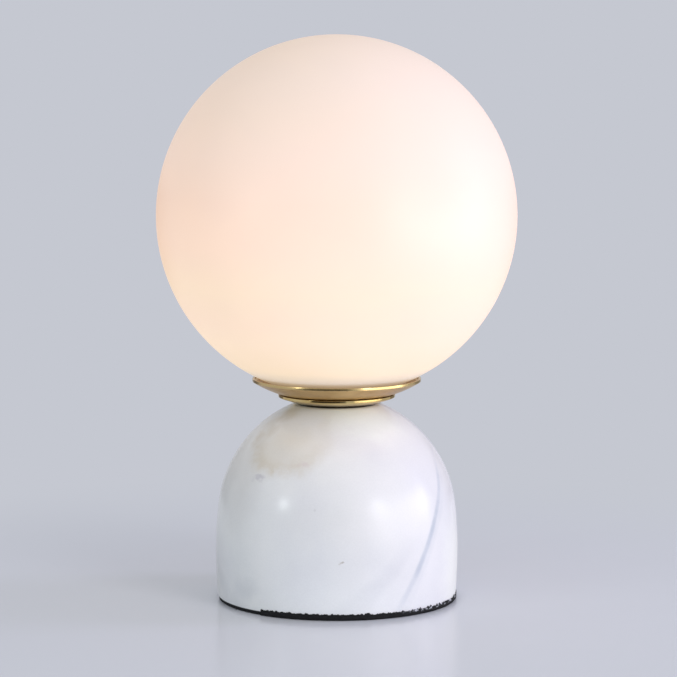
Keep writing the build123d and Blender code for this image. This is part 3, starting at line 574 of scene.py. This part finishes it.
def stainRing():
    # a frayed ring of rust, strongest toward its lower left and open at its top
    spread = addNode(tree, "VectorMath", {"operation": "SUBTRACT", 1: metres(stain["centre"])}, {0: frayed})
    reach = addNode(tree, "VectorMath", {"operation": "LENGTH"}, {0: spread})
    off = addNode(tree, "Math", {"operation": "SUBTRACT", 1: stain["radius"] * mm}, {0: reach})
    gap = addNode(tree, "Math", {"operation": "ABSOLUTE"}, {0: off})
    ring = addNode(tree, "MapRange", {"interpolation_type": "SMOOTHSTEP", "To": (stain["depth"], 0.0),
                                      "From": metres((0.3, stain["width"]))}, {"Value": gap})
    lean = addNode(tree, "VectorMath", {"operation": "DOT_PRODUCT", 1: stain["heavySide"]}, {0: spread})
    side = addNode(tree, "MapRange", {"From": (-14 * mm, 14 * mm), "To": (0.12, 1.0)}, {"Value": lean})
    smear = addNode(tree, "TexNoise", {"Scale": 1 / (9 * mm), "Detail": 4.0, "Roughness": 0.6},
                    {"Vector": place})
    smeared = addNode(tree, "MapRange", {"From": (0.32, 0.6), "To": (0.3, 1.0)}, {"Value": smear})
    return overlap(overlap(ring, side), smeared)


def softSpot(spot):
    # a soft-edged spot about a point of the stone
    moved = addNode(tree, "VectorMath", {"operation": "SUBTRACT", 1: metres(spot["centre"])}, {0: frayed})
    scaled = addNode(tree, "VectorMath", {"operation": "DIVIDE", 1: metres(spot["size"])}, {0: moved})
    away = addNode(tree, "VectorMath", {"operation": "LENGTH"}, {0: scaled})
    return addNode(tree, "MapRange", {"interpolation_type": "SMOOTHSTEP", "From": (0.15, 1.0),
                                      "To": (spot["depth"], 0.0)}, {"Value": away})


# white marble sawn, turned and honed: cloudy ground, sugar-fine crystals, blue-grey veins and a rusty stain
cloud = addNode(tree, "TexNoise", {"Scale": 1 / (55 * mm), "Detail": 3.0, "Roughness": 0.5,
                                   "Distortion": 0.2}, {"Vector": place})
color = addNode(tree, "ValToRGB", {"stops": [(0.3, "#E3E2E4"), (0.5, "#EBEAE9"), (0.72, "#F2F0EE")]},
                {"Fac": cloud})
for vein in veins.values():
    color = tinted(color, veinSheet(vein), vein["tone"])
color = tinted(color, stainRing(), stain["tone"])
# the spots lay marks in the stone, and painted light and shade on its top, foot, side and shoulder
for spot in spots.values():
    color = tinted(color, softSpot(spot), spot["tone"])
# the crystals are 0.2 mm in the stone and drawn at 0.9 mm, as coarse as they show from here
sugar = addNode(tree, "TexNoise", {"Scale": 1 / (0.9 * mm), "Detail": 2.0}, {"Vector": place})
sparkle = addNode(tree, "MapRange", {"From": (0.3, 0.7), "To": (0.97, 1.0)}, {"Value": sugar})
grained = addNode(tree, "VectorMath", {"operation": "SCALE"}, {0: color, "Scale": sparkle})
honed = addNode(tree, "MapRange", {"From": (0.3, 0.7), "To": (0.19, 0.265)}, {"Value": cloud})
pitted = addNode(tree, "Bump", {"Strength": 0.3, "Distance": 0.03 * mm}, {"Height": sugar})
feed(tree, shader, {"Base Color": grained, "Roughness": honed, "Normal": pitted})
wear(marble, stone, "base", "white_marble", "marble_base")
print("marble turned")


pad = {
    "radius": 66.0, "thick": 2.0,
    "lipFoot": 65.9, "lipRadius": 67.25, "lipTop": 3.7, "lipFrom": -38.0, "lipSweep": 172.0,
    "tear": 1.6, "tearRight": 1.1, "rightFrom": 12.0,  # how high the tear is, and how much more on the right
    "lumps": 0.22,
    "dustSide": (34.0, 46.0), "dustHigh": (1.6, 2.6),  # where stone dust sets in, to the right and upward
}
padOut, padTop = pad["radius"], pad["thick"]
basePad = turnPiece("basePad", [
    (0, 0), (padOut - 0.7, 0), (padOut - 0.25, 0.12), (padOut, 0.6), (padOut, padTop - 0.5),
    (padOut - 0.15, padTop - 0.05), (padOut - 0.5, padTop), (0, padTop)], steps=240)
# the foam sheet was torn off round the front and right, and its ragged edge stands up against the stone
lipFoot, lipOut, lipTop = pad["lipFoot"], pad["lipRadius"], pad["lipTop"]
tornEdge = turnPiece("tornEdge", [
    (lipFoot, 0.1), (lipOut - 0.65, 0.05), (lipOut - 0.2, 0.5), (lipOut - 0.05, 1.2), (lipOut, 2.0),
    (lipOut, lipTop - 1), (lipOut - 0.05, lipTop), (lipOut - 0.2, lipTop + 0.1), (lipOut - 0.3, lipTop - 0.1),
    (lipOut - 0.37, lipTop - 1), (lipOut - 0.65, 1.9), (lipFoot, 1.8), (lipFoot, 0.1)],
    steps=620, sweep=pad["lipSweep"], smooth=60)
settle(tornEdge, turn=(0, 0, pad["lipFrom"] - 90 + pad["lipSweep"]))
ragged = bpy.data.textures.new("raggedTear", "CLOUDS")
ragged.noise_scale, ragged.noise_depth, ragged.noise_type = 1.9 * mm, 3, "HARD_NOISE"
lumps = bpy.data.textures.new("foamLumps", "CLOUDS")
lumps.noise_scale, lumps.noise_depth = 0.9 * mm, 2


def displaceWhere(piece, name, wanted, texture, direction, strength):
    # the texture moves the vertices for which wanted(place in mm) holds
    pickOnly(piece)
    bpy.ops.object.mode_set(mode="EDIT")
    bpy.ops.mesh.select_mode(type="VERT")
    bpy.ops.mesh.select_all(action="DESELECT")
    bpy.ops.object.mode_set(mode="OBJECT")
    for vertex in piece.data.vertices:
        vertex.select = wanted(vertex.co / mm)
    bpy.ops.object.vertex_group_add()
    piece.vertex_groups.active.name = name
    bpy.ops.object.mode_set(mode="EDIT")
    bpy.ops.object.vertex_group_assign()
    bpy.ops.object.mode_set(mode="OBJECT")
    shift = piece.modifiers.new(name, "DISPLACE")
    shift.texture, shift.texture_coords, shift.vertex_group = texture, "LOCAL", name
    shift.direction, shift.strength, shift.mid_level = direction, strength * mm, 0.5
    return shift


edgeFrom = lipTop - 0.25
shifts = [  # all vertices are chosen before any of them moves
    displaceWhere(tornEdge, "tearLine", lambda co: co.z > edgeFrom, ragged, "Z", pad["tear"]),
    displaceWhere(tornEdge, "tearRight", lambda co: co.z > edgeFrom and co.x > pad["rightFrom"],
                  ragged, "Z", pad["tearRight"]),
    displaceWhere(tornEdge, "skin", lambda co: hypot(co.x, co.y) > lipOut - 0.25 and co.z > 0.3,
                  lumps, "NORMAL", pad["lumps"])]
for shift in shifts:
    bpy.ops.object.modifier_apply(modifier=shift.name)

# closed-cell foam rubber, cut and torn: matt black, open pores, stone dust caught in the tear on the right
foam, tree, shader, place = newMaterial("black foam rubber, torn", {"IOR": 1.45})
cells = addNode(tree, "TexVoronoi", {"Scale": 1 / (0.8 * mm)}, {"Vector": place})
fleck = addNode(tree, "TexNoise", {"Scale": 1 / (1.7 * mm), "Detail": 3.0, "Roughness": 0.6},
                {"Vector": place})
split = addNode(tree, "SeparateXYZ", links={"Vector": place})
dustSide = addNode(tree, "MapRange", {"From": metres(pad["dustSide"])}, {"Value": split.outputs["X"]})
dustHigh = addNode(tree, "MapRange", {"From": metres(pad["dustHigh"])}, {"Value": split.outputs["Z"]})
dustWhere = addNode(tree, "Math", {"operation": "MULTIPLY"}, {0: dustSide, 1: dustHigh})
dustSpots = addNode(tree, "MapRange", {"From": (0.53, 0.6)}, {"Value": fleck})
dust = addNode(tree, "Math", {"operation": "MULTIPLY"}, {0: dustWhere, 1: dustSpots})
black = addNode(tree, "ValToRGB", {"stops": [(0.0, "#050506"), (0.6, "#121214"), (1.0, "#1E1E21")]},
                {"Fac": cells})
dusty = addNode(tree, "Mix", {"data_type": "RGBA", 7: hexColor("#D6D8DE")}, {0: dust, 6: black})
pores = addNode(tree, "Bump", {"Strength": 0.8, "Distance": 0.15 * mm}, {"Height": cells})
matt = addNode(tree, "MapRange", {"To": (0.75, 0.95)}, {"Value": fleck})
feed(tree, shader, {"Base Color": dusty, "Roughness": matt, "Normal": pores})
basePad = joinAll("basePad", [basePad, tornEdge])
wear(basePad, foam, "base", "black_foam", "base_pad")
print("pad cut")


cup = {
    "floor": 31.0, "radius": 47.0, "wall": 1.2, "bow": 0.55, "bore": 5.25, "rimTall": 1.6, "rimWide": 1.5,
    "edgeOut": (0.25, 0.07), "edgeIn": (0.45, 0.13),  # a rounded edge's size, and how deep its middle is
    "satin": (0.3, 0.44), "polish": (0.22, 0.27), "rimTone": "#DABE85",
}
cupLow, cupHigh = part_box("brass_cup")
bottom, top = cupLow.z / mm, cupHigh.z / mm
run = cup["radius"] - cup["floor"]
rimFoot = top - cup["rimTall"]
climb = rimFoot - bottom
wallRise = cup["wall"] * hypot(run, climb) / run


def bowedSide(foot, head, bow, count):
    # a shallow arc between two points, bowed outward and down at its middle
    chord = Vector(head) - Vector(foot)
    out = Vector((chord.y, -chord.x)).normalized()
    radius = (chord.length**2 / 4 + bow**2) / (2 * bow)
    centre = (Vector(foot) + Vector(head)) / 2 - out * (radius - bow)
    first = degrees(atan2(foot[1] - centre.y, foot[0] - centre.x))
    last = degrees(atan2(head[1] - centre.y, head[0] - centre.x))
    return arc(centre, radius, first, last, count)


rimOut, rimIn = cup["radius"], cup["radius"] - cup["rimWide"]
innerTop = rimFoot + wallRise - cup["rimWide"] * climb / run
innerFloor = cup["floor"] + (cup["wall"] - wallRise) * run / climb
floorTop = bottom + cup["wall"]
outerSide = bowedSide((cup["floor"], bottom), (rimOut, rimFoot), cup["bow"], 20)
innerSide = [(r, z + wallRise) for r, z in reversed(outerSide) if r < rimIn and z + wallRise > floorTop]
(outSize, outDeep), (inSize, inDeep) = cup["edgeOut"], cup["edgeIn"]
rim = [
    (rimOut, top - outSize), (rimOut - outDeep, top - outDeep), (rimOut - outSize, top),
    (rimIn + inSize, top), (rimIn + inDeep, top - inDeep), (rimIn, top - inSize), (rimIn, innerTop)]
brassCup = turnPiece("brassCup", [(cup["bore"], bottom)] + outerSide + rim + innerSide + [
    (innerFloor, floorTop), (cup["bore"], floorTop), (cup["bore"], bottom)], steps=224)
softenEdges(brassCup, 0.12, angle=50)

# brass sheet spun over a former, the cone left satin under clear lacquer with the tool's rings in it, the rim
# polished; the rings are about 0.15 mm apart and drawn at 0.5 mm, as coarse as they show from here
satinBrass, tree, shader, place = newMaterial(
    "spun brass, satin lacquered", {"Metallic": 1.0, "Coat Weight": 0.12, "Coat Roughness": 0.2})
lay = latheLay(tree, place)
rings = addNode(tree, "TexNoise", {"Scale": 1 / (0.5 * mm), "Detail": 3.0, "Roughness": 0.6}, {"Vector": lay})
broad = addNode(tree, "TexNoise", {"Scale": 1 / (2.6 * mm), "Detail": 2.0}, {"Vector": lay})
tarnish = addNode(tree, "TexNoise", {"Scale": 1 / (16 * mm), "Detail": 4.0}, {"Vector": place})
tone = addNode(tree, "ValToRGB", {"stops": [(0.3, "#BC9860"), (0.5, "#CAA86F"), (0.7, "#D6B47C")]},
               {"Fac": tarnish})
height = addNode(tree, "SeparateXYZ", links={"Vector": place}).outputs["Z"]
polished = addNode(tree, "MapRange", {"From": ((rimFoot - 0.15) * mm, (rimFoot + 0.1) * mm)},
                   {"Value": height})
rimTone = addNode(tree, "Mix", {"data_type": "RGBA", 7: hexColor(cup["rimTone"])}, {0: polished, 6: tone})
dull = addNode(tree, "MapRange", {"From": (0.3, 0.7), "To": cup["satin"]}, {"Value": rings})
bright = addNode(tree, "MapRange", {"From": (0.3, 0.7), "To": cup["polish"]}, {"Value": tarnish})
sheen = addNode(tree, "Mix", {"data_type": "FLOAT"}, {0: polished, 2: dull, 3: bright})
groove = addNode(tree, "Math", {"operation": "MULTIPLY_ADD", 1: 0.5}, {0: rings, 2: broad})
cutDepth = addNode(tree, "MapRange", {"To": (0.55, 0.1)}, {"Value": polished})
ridges = addNode(tree, "Bump", {"Distance": 0.035 * mm}, {"Height": groove, "Strength": cutDepth})
feed(tree, shader, {"Base Color": rimTone, "Roughness": sheen, "Normal": ridges})
wear(brassCup, satinBrass, "base", "satin_brass", "brass_cup")
print("cup spun")


metal, nylon, sleeve = {"Metallic": 1.0}, {"IOR": 1.53}, {"IOR": 1.43}
finishes = {
    # by the record's slot: the material's name, its two tones, roughness, the size of its mottle and grain
    # and the height of its relief in mm, and the way that its grain runs

    # bar stock faced and polished on the lathe: clear reflections, faint rings
    "polished_brass": ("turned brass, polished", {
        "tones": ("#D6B878", "#E2C98E"), "sheen": (0.06, 0.11), "mottle": 12.0, "grain": 0.45,
        "relief": 0.012, "lay": "turned", "shader": metal}),
    # free-cutting brass turned and left off the tool: fine rings, warmer and duller than polish
    "turned_brass": ("free-cutting brass, as turned", {
        "tones": ("#B89350", "#CBA763"), "sheen": (0.24, 0.36), "mottle": 7.0, "grain": 0.35,
        "relief": 0.02, "lay": "turned", "shader": metal}),
    # sheet brass blanked and bent: rolled grain runs upward
    "contact_brass": ("rolled brass strip", {
        "tones": ("#BF9A55", "#CDAA66"), "sheen": (0.26, 0.4), "mottle": 4.0, "grain": 0.4,
        "relief": 0.01, "lay": (6, 6, 0.5), "shader": metal}),
    # bright zinc over steel sheet and screws: bluish white, cloudy, softly shiny
    "zinc_steel": ("zinc plated steel", {
        "tones": ("#B9BEC4", "#CDD1D4"), "sheen": (0.22, 0.4), "mottle": 5.0, "grain": 0.5,
        "relief": 0.012, "shader": metal}),
    # nickel plated wire, drawn: bright with lengthwise lines
    "pin_steel": ("nickel plated wire", {
        "tones": ("#C6C4BF", "#D6D4CF"), "sheen": (0.14, 0.26), "mottle": 3.0, "grain": 0.3,
        "relief": 0.006, "lay": (8, 8, 0.4), "shader": metal}),
    # aluminium turned from tube: silver grey, ringed by the tool
    "turned_aluminium": ("turned aluminium", {
        "tones": ("#BFC2C5", "#D0D2D4"), "sheen": (0.26, 0.42), "mottle": 9.0, "grain": 0.4,
        "relief": 0.02, "lay": "turned", "shader": metal}),
    # glass-filled nylon, moulded: warm white or black with a dull eggshell skin
    "white_nylon": ("moulded white nylon", {
        "tones": ("#DCD8CD", "#E8E5DC"), "sheen": (0.38, 0.52), "mottle": 8.0, "grain": 0.5,
        "relief": 0.02, "shader": nylon}),
    "black_nylon": ("moulded black nylon", {
        "tones": ("#0E0E10", "#17171A"), "sheen": (0.36, 0.5), "mottle": 6.0, "grain": 0.5,
        "relief": 0.02, "shader": nylon}),
    # silicone sleeve drawn over stranded wire: slightly shiny, with a faint grain
    "brown_sleeve": ("brown silicone sleeve, extruded", {
        "tones": ("#5A2E17", "#6E3C20"), "sheen": (0.3, 0.42), "mottle": 6.0, "grain": 0.6,
        "relief": 0.015, "shader": sleeve}),
    "blue_sleeve": ("blue silicone sleeve, extruded", {
        "tones": ("#1F4F9C", "#2F63B2"), "sheen": (0.3, 0.42), "mottle": 6.0, "grain": 0.6,
        "relief": 0.015, "shader": sleeve}),
    # steatite pressed, fired and glazed: creamy white, glossy, pinholed
    "white_ceramic": ("glazed steatite", {
        "tones": ("#E4DED1", "#EFEBE1"), "sheen": (0.1, 0.2), "mottle": 5.0, "grain": 0.7,
        "relief": 0.03, "shader": {"IOR": 1.6}}),
    # silicone run out of a nozzle and cured: milky, waxy, a little lumpy
    "white_silicone": ("cured white silicone", {
        "tones": ("#D9D9D4", "#E9E9E5"), "sheen": (0.28, 0.4), "mottle": 3.0, "grain": 1.6, "relief": 0.12,
        "shader": {"IOR": 1.41, "Subsurface Weight": 0.2, "Subsurface Radius": (0.002, 0.002, 0.002)}}),
    # cut nitrile rubber sheet: matt and nearly black
    "black_rubber": ("black nitrile rubber", {
        "tones": ("#2E2721", "#3A3129"), "sheen": (0.6, 0.8), "mottle": 5.0, "grain": 0.4,
        "relief": 0.02, "shader": {"IOR": 1.5}}),
}
finish = {slotName: makeFinish(*made) for slotName, made in finishes.items()}
print("finishes mixed")


disc = {"radius": 32.7, "edge": 1.4, "foot": 22.6, "chamfer": 0.35, "bore": 5.25}
discLow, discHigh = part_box("base_disc")
bottom, top = discLow.z / mm, discHigh.z / mm
discOut, cutBack = disc["radius"], disc["chamfer"]
baseDisc = turnPiece("baseDisc", [
    (disc["bore"], bottom), (disc["foot"], bottom), (discOut - cutBack, top - disc["edge"] - cutBack),
    (discOut, top - disc["edge"]), (discOut, top - cutBack / 2), (discOut - cutBack / 2, top),
    (disc["bore"], top), (disc["bore"], bottom)], steps=200)
softenEdges(baseDisc, 0.1, angle=25)
wear(baseDisc, finish["polished_brass"], "base", "polished_brass", "base_disc")
print("disc turned")


boss = {
    "radius": 25.5, "opening": 16.14, "flange": 29.3, "flangeThick": 1.0, "floorThick": 2.0, "bore": 23.5,
    "thread": 1.5, "depth": 0.22,
}
bossLow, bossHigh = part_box("globe_boss")
bossFoot, bossTop = bossLow.z / mm, bossHigh.z / mm
flangeTop, bossFloor = bossFoot + boss["flangeThick"], bossFoot + boss["floorThick"]
bossRing = turnPiece("globeBoss", [
    (boss["opening"], bossFoot), (boss["flange"], bossFoot), (boss["flange"], flangeTop),
    (boss["radius"], flangeTop), (boss["radius"], bossTop - 0.5), (boss["radius"] - 0.5, bossTop),
    (boss["bore"], bossTop), (boss["bore"], bossFloor), (boss["opening"], bossFloor),
    (boss["opening"], bossFoot)], steps=144)
softenEdges(bossRing, 0.15)
bossThread = threadRidge("bossThread", boss["radius"], boss["depth"], boss["thread"],
                         flangeTop + 0.6, bossTop - 0.4)
globeBoss = joinAll("globeBoss", [bossRing, bossThread])
wear(globeBoss, finish["turned_brass"], "base", "turned_brass", "globe_boss")

collar = {"bore": 26.2, "sleeve": 28.2, "flange": 31.0, "flangeThick": 1.6, "thread": 1.5, "depth": 0.18}
collarLow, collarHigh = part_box("globe_collar")
foot, top = collarLow.z / mm, collarHigh.z / mm
flangeTop = foot + collar["flangeThick"]
bore, sleeveOut, flangeOut = collar["bore"], collar["sleeve"], collar["flange"]
collarRing = turnPiece("globeCollar", [
    (bore, foot), (flangeOut, foot), (flangeOut, flangeTop), (sleeveOut, flangeTop),
    (sleeveOut, top - 0.5), (sleeveOut - 0.5, top), (bore, top), (bore, foot)], steps=144)
softenEdges(collarRing, 0.15)
collarThread = threadRidge("collarThread", bore, collar["depth"], collar["thread"], foot + 0.5, top - 0.4,
                           outward=-1)
globeCollar = joinAll("globeCollar", [collarRing, collarThread])
wear(globeCollar, finish["turned_aluminium"], "globe", "turned_aluminium", "globe_collar")

seal = {"sleeve": 28.25, "film": 28.95, "flange": 30.5, "flangeThick": 0.4}
sealLow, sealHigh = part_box("collar_seal")
foot, top = sealLow.z / mm, sealHigh.z / mm
flangeTop = foot + seal["flangeThick"]
sleeveOut, filmOut, flangeOut = seal["sleeve"], seal["film"], seal["flange"]
sealRing = turnPiece("collarSeal", [
    (sleeveOut, foot), (flangeOut, foot), (flangeOut + 0.1, foot + 0.2), (flangeOut, flangeTop),
    (filmOut, flangeTop), (filmOut, top - 0.25), (filmOut - 0.3, top),
    (sleeveOut + 0.1, top - 0.15), (sleeveOut, top - 0.4), (sleeveOut, foot)], steps=144)
softenEdges(sealRing, 0.08)
wear(sealRing, finish["white_silicone"], "globe", "white_silicone", "collar_seal")
print("boss and collar turned")


screwCrown = ((1, 0.45), (0.93, 0.72), (0.74, 0.92), (0.4, 1))  # shares of a pan head's radius and height


def panScrew(name, screw):
    # a pan head screw standing head up on the origin: turned, then slotted once, or twice for a cross
    radius, head, tall, length = (screw[key] for key in ("radius", "head", "tall", "length"))
    piece = turnPiece(name, (
        [(0, -length), (radius - 0.3, -length), (radius, -length + 0.4), (radius, 0), (head, 0)]
        + [(head * wide, tall * high) for wide, high in screwCrown] + [(0, tall)]), steps=40)
    for turn in screw["slotTurns"]:
        bpy.ops.object.select_all(action="DESELECT")
        bpy.ops.mesh.primitive_cube_add(
            size=1, location=(0, 0, tall * mm), rotation=(0, 0, radians(turn)),
            scale=(head * screw["slotLong"] * mm, screw["slotWide"] * mm, tall * 1.1 * mm))
        cutAway(piece, bpy.context.active_object)
    softenEdges(piece, 0.08, angle=35)
    return piece


def setCopies(name, piece, places):
    # copies of a piece at the given places and turns, each with its own mesh, joined; the pattern is removed
    copies = []
    for move, turn in places:
        pickOnly(piece)
        bpy.ops.object.duplicate()
        copies.append(bpy.context.active_object)
        settle(copies[-1], move, turn)
    bpy.data.objects.remove(piece)
    return joinAll(name, copies)


bossScrew = {"radius": 1.5, "head": 2.8, "tall": 1.8, "length": 5.3, "circle": 19.82, "turns": (90, 210, 330),
             "slotWide": 0.55, "slotLong": 1.15, "slotTurns": (0, 90)}  # a slot's length is in head radii
circle = bossScrew["circle"]
bossScrews = setCopies("bossScrews", panScrew("bossScrew", bossScrew), [
    ((circle * cos(radians(turn)), circle * sin(radians(turn)), bossFloor), (0, 0, turn * 1.7))
    for turn in bossScrew["turns"]])
wear(bossScrews, finish["zinc_steel"], "base", "zinc_steel", "boss_screws")

sideScrew = {"radius": 1.5, "head": 2.8, "tall": 1.8, "length": 3.6,
             "slotWide": 0.6, "slotLong": 2.4, "slotTurns": (0,)}
screwLow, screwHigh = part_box("holder_screws")
sideSeat = screwHigh.x / mm - sideScrew["tall"]
sideHeight = (screwLow.z + screwHigh.z) / 2 / mm
holderScrews = setCopies("holderScrews", panScrew("holderScrew", sideScrew), [
    ((sideSeat, 0, sideHeight), (24, 90, 0)), ((-sideSeat, 0, sideHeight), (-61, -90, 0))])
wear(holderScrews, finish["zinc_steel"], "base", "zinc_steel", "holder_screws")

tube = {"core": 4.55, "bore": 3.9, "pitch": 1.0, "depth": 0.42}
tubeLow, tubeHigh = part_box("threaded_tube")
foot, top = tubeLow.z / mm, tubeHigh.z / mm
tubeBody = turnPiece("threadedTube", [
    (tube["bore"], foot), (tube["core"] - 0.05, foot), (tube["core"], foot + 0.3), (tube["core"], top - 0.3),
    (tube["core"] - 0.1, top), (tube["bore"], top), (tube["bore"], foot)], steps=56)
tubeThread = threadRidge("tubeThread", tube["core"], tube["depth"], tube["pitch"], foot + 0.2, top - 0.1)
threadedTube = joinAll("threadedTube", [tubeBody, tubeThread])
wear(threadedTube, finish["zinc_steel"], "base", "zinc_steel", "threaded_tube")

fittings = {
    # how far the corners are softened, and the record's slot
    "upper_nut": (0.12, "zinc_steel"), "lower_nut": (0.12, "zinc_steel"),
    "upper_bush": (0.2, "white_nylon"), "lower_bush": (0.2, "white_nylon"),
    "holder_bracket": (0.15, "zinc_steel"), "cord_bush": (0.3, "black_nylon"),
    "lampholder": (0.3, "white_ceramic"), "bottom_plate": (0.2, "zinc_steel"),
    "holder_contacts": (0.05, "contact_brass"), "fender_washer": (0.2, "zinc_steel"),
}
for node, (width, slotName) in fittings.items():
    wear(easeNode(node, width), finish[slotName], "base", slotName, node)
dress(finish["zinc_steel"], "lower_tooth_washer", "upper_tooth_washer", "terminal_screws", "block_screw",
      "block_nut")
dress(finish["white_nylon"], "terminal_block")
dress(finish["contact_brass"], "terminal_inserts")
dress(finish["black_rubber"], "disc_gasket")
dress(finish["brown_sleeve"], "live_lead")
dress(finish["blue_sleeve"], "neutral_lead")
print("holder and fittings made")


bulb = {
    "radius": 8.0, "wall": 1.0, "cover": "#F2EDE2",
    "glow": [(0.0, "#B98E5E"), (0.12, "#EBC08A"), (0.4, "#FFDDAF"), (0.7, "#F2C795"), (1.0, "#B58B60")],
    "glowStrength": 0.95,
    "board": "#E6E6E2", "chip": "#E3B43C", "boardGlow": "#1A140C", "chipGlow": "#FFD9A0",
    "chipFrom": 0.7,  # the chips stand further than this from the board's middle
    "chipStrength": 3.0,
}
capsuleLow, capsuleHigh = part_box("bulb_capsule")
foot, top = capsuleLow.z / mm, capsuleHigh.z / mm
bulbOut, bulbIn = bulb["radius"], bulb["radius"] - bulb["wall"]
spring = top - bulbOut
capsule = turnPiece("bulbCapsule", (
    [(bulbIn, foot), (bulbOut, foot)] + arc((0, spring), bulbOut, 0, 90, 24)
    + arc((0, spring), bulbIn, 90, 0, 20) + [(bulbIn, foot)]), steps=72)
softenEdges(capsule, 0.15, angle=50)
# polycarbonate tube, sand blasted inside: glows evenly, brightest where the chips stand behind it
frosted, tree, shader, place = newMaterial("frosted polycarbonate, lit", {
    "IOR": 1.58, "Transmission Weight": 0.35, "Base Color": hexColor(bulb["cover"]),
    "Emission Strength": bulb["glowStrength"]})
height = addNode(tree, "SeparateXYZ", links={"Vector": place}).outputs["Z"]
rise = addNode(tree, "MapRange", {"From": (foot * mm, top * mm)}, {"Value": height})
even = addNode(tree, "ValToRGB", {"stops": bulb["glow"]}, {"Fac": rise})
blast = addNode(tree, "TexNoise", {"Scale": 1 / (0.6 * mm), "Detail": 2.0}, {"Vector": place})
hazy = addNode(tree, "MapRange", {"To": (0.42, 0.56)}, {"Value": blast})
skin = addNode(tree, "Bump", {"Strength": 0.3, "Distance": 0.02 * mm}, {"Height": blast})
feed(tree, shader, {"Emission Color": even, "Roughness": hazy, "Normal": skin})
wear(capsule, frosted, "bulb", "frosted_cover", "bulb_capsule")
wear(easeNode("bulb_base", 0.3), finish["white_nylon"], "bulb", "white_nylon", "bulb_base")
wear(easeNode("bulb_pins", 0.18, segments=3), finish["pin_steel"], "bulb", "pin_steel", "bulb_pins")

# glass-fibre board under white solder mask, with yellow phosphor chips alight on both faces
board, tree, shader, place = newMaterial(
    "white circuit board, lit chips", {"IOR": 1.5, "Emission Strength": bulb["chipStrength"]})
across = addNode(tree, "SeparateXYZ", links={"Vector": place}).outputs["Y"]
depth = addNode(tree, "Math", {"operation": "ABSOLUTE"}, {0: across})
chip = addNode(tree, "Math", {"operation": "GREATER_THAN", 1: bulb["chipFrom"] * mm}, {0: depth})
face = addNode(tree, "Mix", {"data_type": "RGBA", 6: hexColor(bulb["board"]), 7: hexColor(bulb["chip"])},
               {0: chip})
shine = addNode(tree, "Mix", {"data_type": "RGBA", 6: hexColor(bulb["boardGlow"]),
                              7: hexColor(bulb["chipGlow"])}, {0: chip})
weave = addNode(tree, "TexNoise", {"Scale": 1 / (0.8 * mm), "Detail": 2.0}, {"Vector": place})
mask = addNode(tree, "MapRange", {"To": (0.3, 0.5)}, {"Value": weave})
feed(tree, shader, {"Base Color": face, "Emission Color": shine, "Roughness": mask})
dress(board, "light_board")
print("bulb made")
